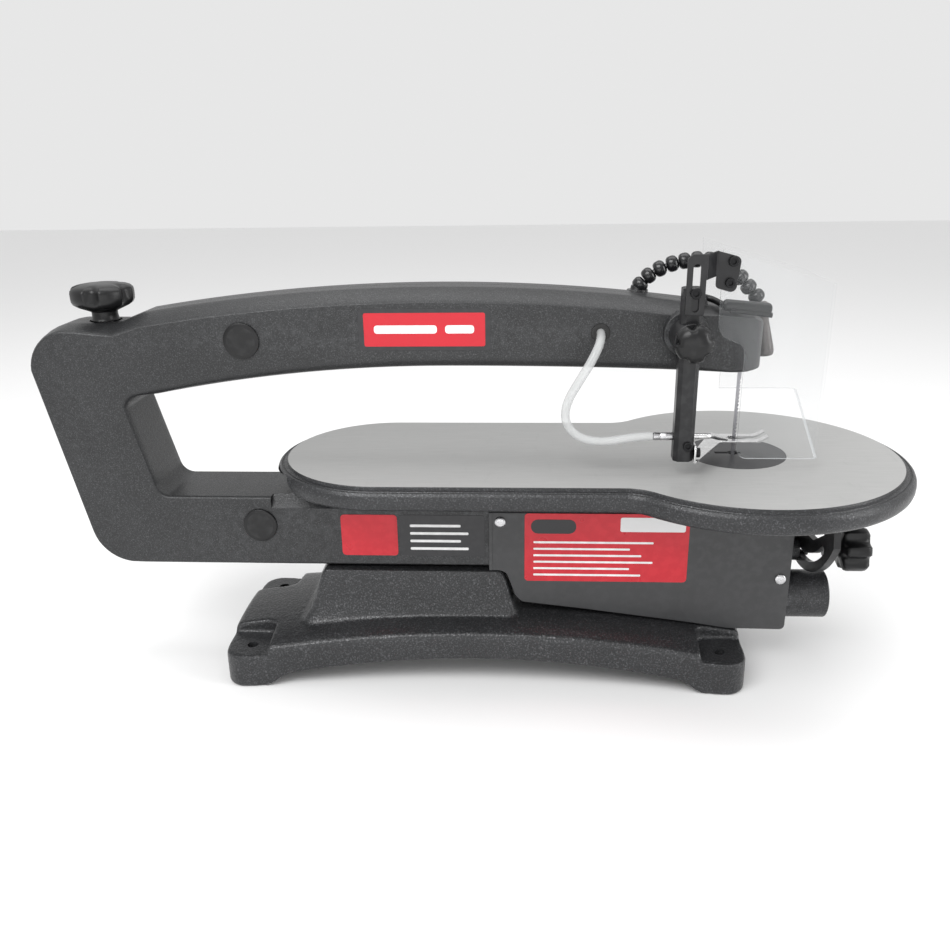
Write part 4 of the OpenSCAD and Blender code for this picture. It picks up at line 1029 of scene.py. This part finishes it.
bm = bmesh.new()
for x, z in GUARD_SCREWS:
    rod(bm, 1.95, (x, GUARD_Y - 2, z), (x, GUARD_Y + 4.4, z), 20)
    socket_screw(bm, (x, GUARD_Y - 2, z), (0, -1, 0), 3.4, 3)
    lathe(bm, [(0, 0), (3.7, 0), (3.7, 2.4), (0, 2.4)], (x, GUARD_Y + 2.02, z), (0, 1, 0), 6)
place(to_object("guard_bolts", bm, BLACK_SCREW), "guard", "guard_screws")
bm = bmesh.new()
rod(bm, 2, (-46, POST[1], FOOT_SCREW_Z), (-36, POST[1], FOOT_SCREW_Z), 20)
socket_screw(bm, (-38.4, POST[1], FOOT_SCREW_Z), (1, 0, 0), 3.6, 3.2)
socket_screw(bm, (-45.5, POST[1] - POST_HALF, 24.2), (0, -1, 0), 3.4, 2.5)
rod(bm, 2, (STRAP_X, -60, STRAP_SCREW_Z), (STRAP_X, -50, STRAP_SCREW_Z), 20)
socket_screw(bm, (STRAP_X, -59.4, STRAP_SCREW_Z), (0, -1, 0), 3.8, 2.8)
place(to_object("post_bolts", bm, BLACK_SCREW), "post", "foot_screws")

# ---- clear guard

GUARD_BACK, GUARD_FRONT, GUARD_LOW, GUARD_BEND = -28, 53.5, 8.5, 6
wall_path = ([(GUARD_BACK, GUARD_Y)]
             + arc(GUARD_FRONT - GUARD_BEND, GUARD_Y + GUARD_BEND, GUARD_BEND, -90, 0, 6)
             + arc(GUARD_FRONT - GUARD_BEND, -GUARD_Y - GUARD_BEND, GUARD_BEND, 0, 90, 6)
             + [(GUARD_BACK, -GUARD_Y)])
guard = to_object("guard_sheet", solid(sheet_wall, wall_path, GUARD_LOW, 159.95, 2), [GUARD, GUARD_EDGE])
side_outline = (
    [(GUARD_FRONT + 1, GUARD_LOW), (GUARD_FRONT + 1, 134.8), (-27, 159.9)] + arc(-15, 108, 11.3, 182, 262, 8)
    + arc(-16.5, 86, 10, 82, 8, 8) + arc(1.5, 16.5, 8, 188, 268, 8))
boolean(guard, solid(prism, side_outline, GUARD_Y - 2, 2 - GUARD_Y), "INTERSECT")
bm = bmesh.new()
prism(bm, [(-33, 0), (-33, GUARD_LOW), (33, 42), (45, 42), (45, 0)], -60, 60, "yz")
for x, z in GUARD_SCREWS:
    rod(bm, 2.05, (x, GUARD_Y - 3, z), (x, GUARD_Y + 4, z), 20)
boolean(guard, bm)
for f in guard.data.polygons:  # the sheet's wide faces are clear, and its cut edges show
    c, n = f.center * 1000 - ORIGIN, f.normal
    on_side = abs(c.y) > 36.8 and abs(n.y) > 0.7
    on_front = c.x > 51.2 and abs(n.x) > 0.7
    on_bend = c.x > 46 and abs(c.y) > 32 and abs(n.z) < 0.3
    f.material_index = 0 if on_side or on_front or on_bend else 1
place(guard, "guard", "guard_shield")

# ---- presser foot and blower

bm = bmesh.new()
prism(bm, round_corners([(-40.4, -57), (-38.5, -57), (-12, -9.5), (16, -9.5), (16, -4), (-4, -4), (-8, 0),
                         (-4, 4), (16, 4), (16, 9.5), (-14, 9.5), (-22, 0), (-40.4, -43)],
                        [0, 2, 4, 0, 0, 3, 2, 3, 0, 0, 5, 6, 2], 4), 11, 12.5, "xy", edge=0.35)
foot = to_object("foot_sheet", bm, PLATED)
bm = bmesh.new()
for s in (-1, 1):
    path = [(15.5, 11.02)] + [(15.8 + 9 * t, 11 + 4.6 * t ** 1.6) for t in (0.25, 0.5, 0.75, 0.95)]
    sheet_wall(bm, path, s * 6.75 - 2.75, s * 6.75 + 2.75, 1.45, "xz")
boolean(foot, bm, "UNION")
boolean(foot, solid(prism, round_corners([(-57, 11), (-43, 11), (-43, 24), (-57, 24)], [0, 0, 4, 4], 5),
                    -40.4, -38.9, "yz", edge=0.35), "UNION")
boolean(foot, solid(rod, 2.05, (-45, POST[1], FOOT_SCREW_Z), (-35, POST[1], FOOT_SCREW_Z), 20))
place(flat_shaded(foot), "foot", "presser_foot")

bm = bmesh.new()
nozzle = curve_through([(-62, NOZZLE_Y, NOZZLE_Z), (-40, NOZZLE_Y, NOZZLE_Z), (-31, -49.4, 29.4),
                        (-27, -45, 28.4), (-20, -33.5, 23.3), (-8.6, -13.7, 15.6)], 8)
tube(bm, nozzle, [2.15 - 0.75 * max(0, i - 24) / 16 for i in range(len(nozzle))], 20)
place(to_object("nozzle_tube", bm, PLATED, 40), "post", "air_nozzle")
bm = bmesh.new()
lathe(bm, [(2.22, 0), (2.5, 0), (2.9, 0.6), (2.9, 4.5), (2.6, 5), (2.9, 5.5), (2.9, 13.6), (2.5, 14.4),
           (2.22, 14.4)], (-69.6, NOZZLE_Y, NOZZLE_Z), (1, 0, 0), 36)
place(to_object("ferrule", bm, STEEL), "post", "nozzle_ferrule")
bm = bmesh.new()
lathe(bm, [(3.5, -1.2), (6.3, -0.3), (6.8, 0.4), (6.4, 1.3), (5.2, 1.5), (3.5, 1.4)],
      (HOSE_X, -HALF_W, HOSE_Z), (0, -1, 0), 40)
place(to_object("grommet", bm, RUBBER, 45), "frame", "hose_grommet")

# ---- quick-tension lever

LEVER_X, LEVER_Z = -37, 123.8
bm = bmesh.new()
lathe(bm, rounded_profile((0, -3.2, 0), (4, -3.2, 0.6), (4, 3.2, 0.6), (0, 3.2, 0)), (LEVER_X, -12, LEVER_Z),
      (0, 1, 0), 32)
rod(bm, 2, (LEVER_X, -18.5, LEVER_Z), (LEVER_X, -5.5, LEVER_Z), 24)
arm = curve_through([(LEVER_X, -12, LEVER_Z), (-31, -12, 122.6), (-26.5, -14.5, 121.4), (-23.5, -20, 120.3),
                     (-21, -25, 119.6)], 6)
tube(bm, arm, 2.3)
grip = curve_through([(-22.5, -26.5, 119.9), (-16, -26.4, 119.3), (-4, -26.2, 118.1), (7, -26.1, 116.9),
                      (12.5, -26, 116.3)], 6)
last = len(grip) - 1
tube(bm, grip, [1.6 + 2.7 * min(1, (i / 3) ** 0.6, ((last - i) / 3) ** 0.6) for i in range(last + 1)], 24)
lip = curve_through([(-17, -28.5, 116.2), (-6, -28.3, 115), (6, -28.1, 113.4), (12.5, -28, 112.6)], 6)
tube(bm, lip, 1.9, 14)
place(to_object("lever_grip", bm, BLACK_PLASTIC, 50), "tension_lever_body", "tension_lever")

# ---- work light

BEADS = [(-76, 128.5), (-70, 135), (-62, 140), (-53, 143.5), (-44, 145.5), (-35, 146.5), (-26, 146),
         (-17, 143.5), (-9, 139), (-2, 133), (4.5, 126), (11, 119), (16, 111.5)]
LAMP_Y = 15
SHADE_TILT = math.radians(171)


def bead_at(i):
    return (BEADS[i][0], LAMP_Y, BEADS[i][1])


def bead(bm, i):
    """One ball segment, its axis along the neck."""
    a, b = BEADS[max(i - 1, 0)], BEADS[min(i + 1, len(BEADS) - 1)]
    along = Vector((b[0] - a[0], 0, b[1] - a[1]))
    lathe(bm, [(0, -4.3), (3.4, -4.3), (4.6, -3.9), (5.6, -2.8), (6.0, -1.4), (6.1, 0.2), (6.0, 1.6),
               (5.3, 2.9), (4.2, 3.9), (3.4, 4.3), (0, 4.3)], bead_at(i), along, 32)


NECK = (("neck_beads_low", "neck_lower", 1, 4), ("neck_beads_mid", "neck_middle", 5, 8),
        ("neck_beads_high", "neck_upper", 9, 11))
for name, body, first, last in NECK:
    bm = bmesh.new()
    for i in range(first, last + 1):
        bead(bm, i)
    for i in range(first, last):
        rod(bm, 2.1, bead_at(i), bead_at(i + 1), 20)
    place(to_object(name, bm, BLACK_GLOSS, 40), body, body.replace("neck", "lamp_neck"))
bm = bmesh.new()
lathe(bm, rounded_profile((0, 0, 0), (8, 0, 0), (8, 3, 0.8), (5.4, 3.2, 0.4), (4.8, 6, 0.4), (0, 6, 0)),
      (-78, LAMP_Y, 122), (0, 0, 1), 40)
bead(bm, 0)
place(to_object("lamp_foot", bm, BLACK_GLOSS, 40), "frame", "lamp_base")
down = Vector((math.sin(SHADE_TILT), 0, math.cos(SHADE_TILT)))
bm = bmesh.new()
lathe(bm, [(0, -3.6), (3, -3.4), (4.8, -2), (5.3, 0), (5.3, 5.6), (4.5, 6.8), (4.1, 8), (4.2, 12), (4.8, 18),
           (5.5, 25), (6.1, 31), (6.2, 34), (5.8, 36.6), (5.2, 37.6), (4.8, 37.2), (4.4, 35.5), (3.2, 34),
           (0, 33.4)], bead_at(12), down)
place(to_object("lamp_shade", bm, LAMP_SHADE, 35), "head", "lamp_head")
bm = bmesh.new()
lathe(bm, [(0, 34.2), (3.8, 34.4), (4.7, 35.2), (3.6, 36.8), (1.8, 37.6), (0, 37.9)], bead_at(12), down, 40)
place(to_object("lamp_lens", bm, LABEL_WHITE, 60), "head", slot="clear_guard")

# ---- textless plates

LAYER = 0.23  # how far a second layer stands in front of the first


def plate(name, x0, z0, x1, z1, y, look_of, r, thick=0.25):
    """A thin plate on the face at y."""
    place(to_object(name, solid(prism, round_corners(box(x0, z0, x1, z1), r, 5), y - thick, y, edge=0.08,
                                steps=1), look_of), "frame", slot="black_plastic")


def bars(name, y, look_of, *spans):
    """A plain pattern of bars, standing for print."""
    bm = bmesh.new()
    for x0, x1, z0, z1 in spans:
        prism(bm, round_corners(box(x0, z0, x1, z1), 0.35 * (z1 - z0), 3), y - 0.08, y)
    place(to_object(name, bm, look_of), "frame", slot="black_plastic")


face = -HALF_W + 0.02
plate("badge_frame", -283.6, 88.5, -187, 119, face, LABEL_DARK, 2.5)
plate("badge_field", -279.5, 91.5, -191, 116, face - LAYER, LABEL_RED, 1.5, 0.15)
bars("badge_bars", face - 0.36, LABEL_WHITE, (-272, -226, 101, 107), (-220, -199, 101, 107))
plate("strip_left", -306.7, -77, -262, -42, face, LABEL_RED, 3)
plate("strip_right", -260.5, -77, -193, -42, face, LABEL_DARK, 3)
bars("strip_bars", face - LAYER, LABEL_WHITE,
     *[(-252, -212 + 6 * (k % 2), -50 - 6.5 * k - 2.2, -50 - 6.5 * k) for k in range(4)])
cover_face = -HALF_W - COVER_T + 0.02
plate("notice_field", -162, -97, -35, -39, cover_face, LABEL_RED, 3)
plate("notice_head", -88, -54, -38, -42, cover_face - LAYER, LABEL_WHITE, 1.5, 0.12)
plate("notice_pill", -157, -56, -122, -44, cover_face - LAYER, LABEL_DARK, 5.5, 0.12)
bars("notice_bars", cover_face - LAYER, LABEL_WHITE,
     *[(-155, -62 - 9 * ((k * 2) % 3), -62.5 - 5.6 * k - 1.7, -62.5 - 5.6 * k) for k in range(6)])
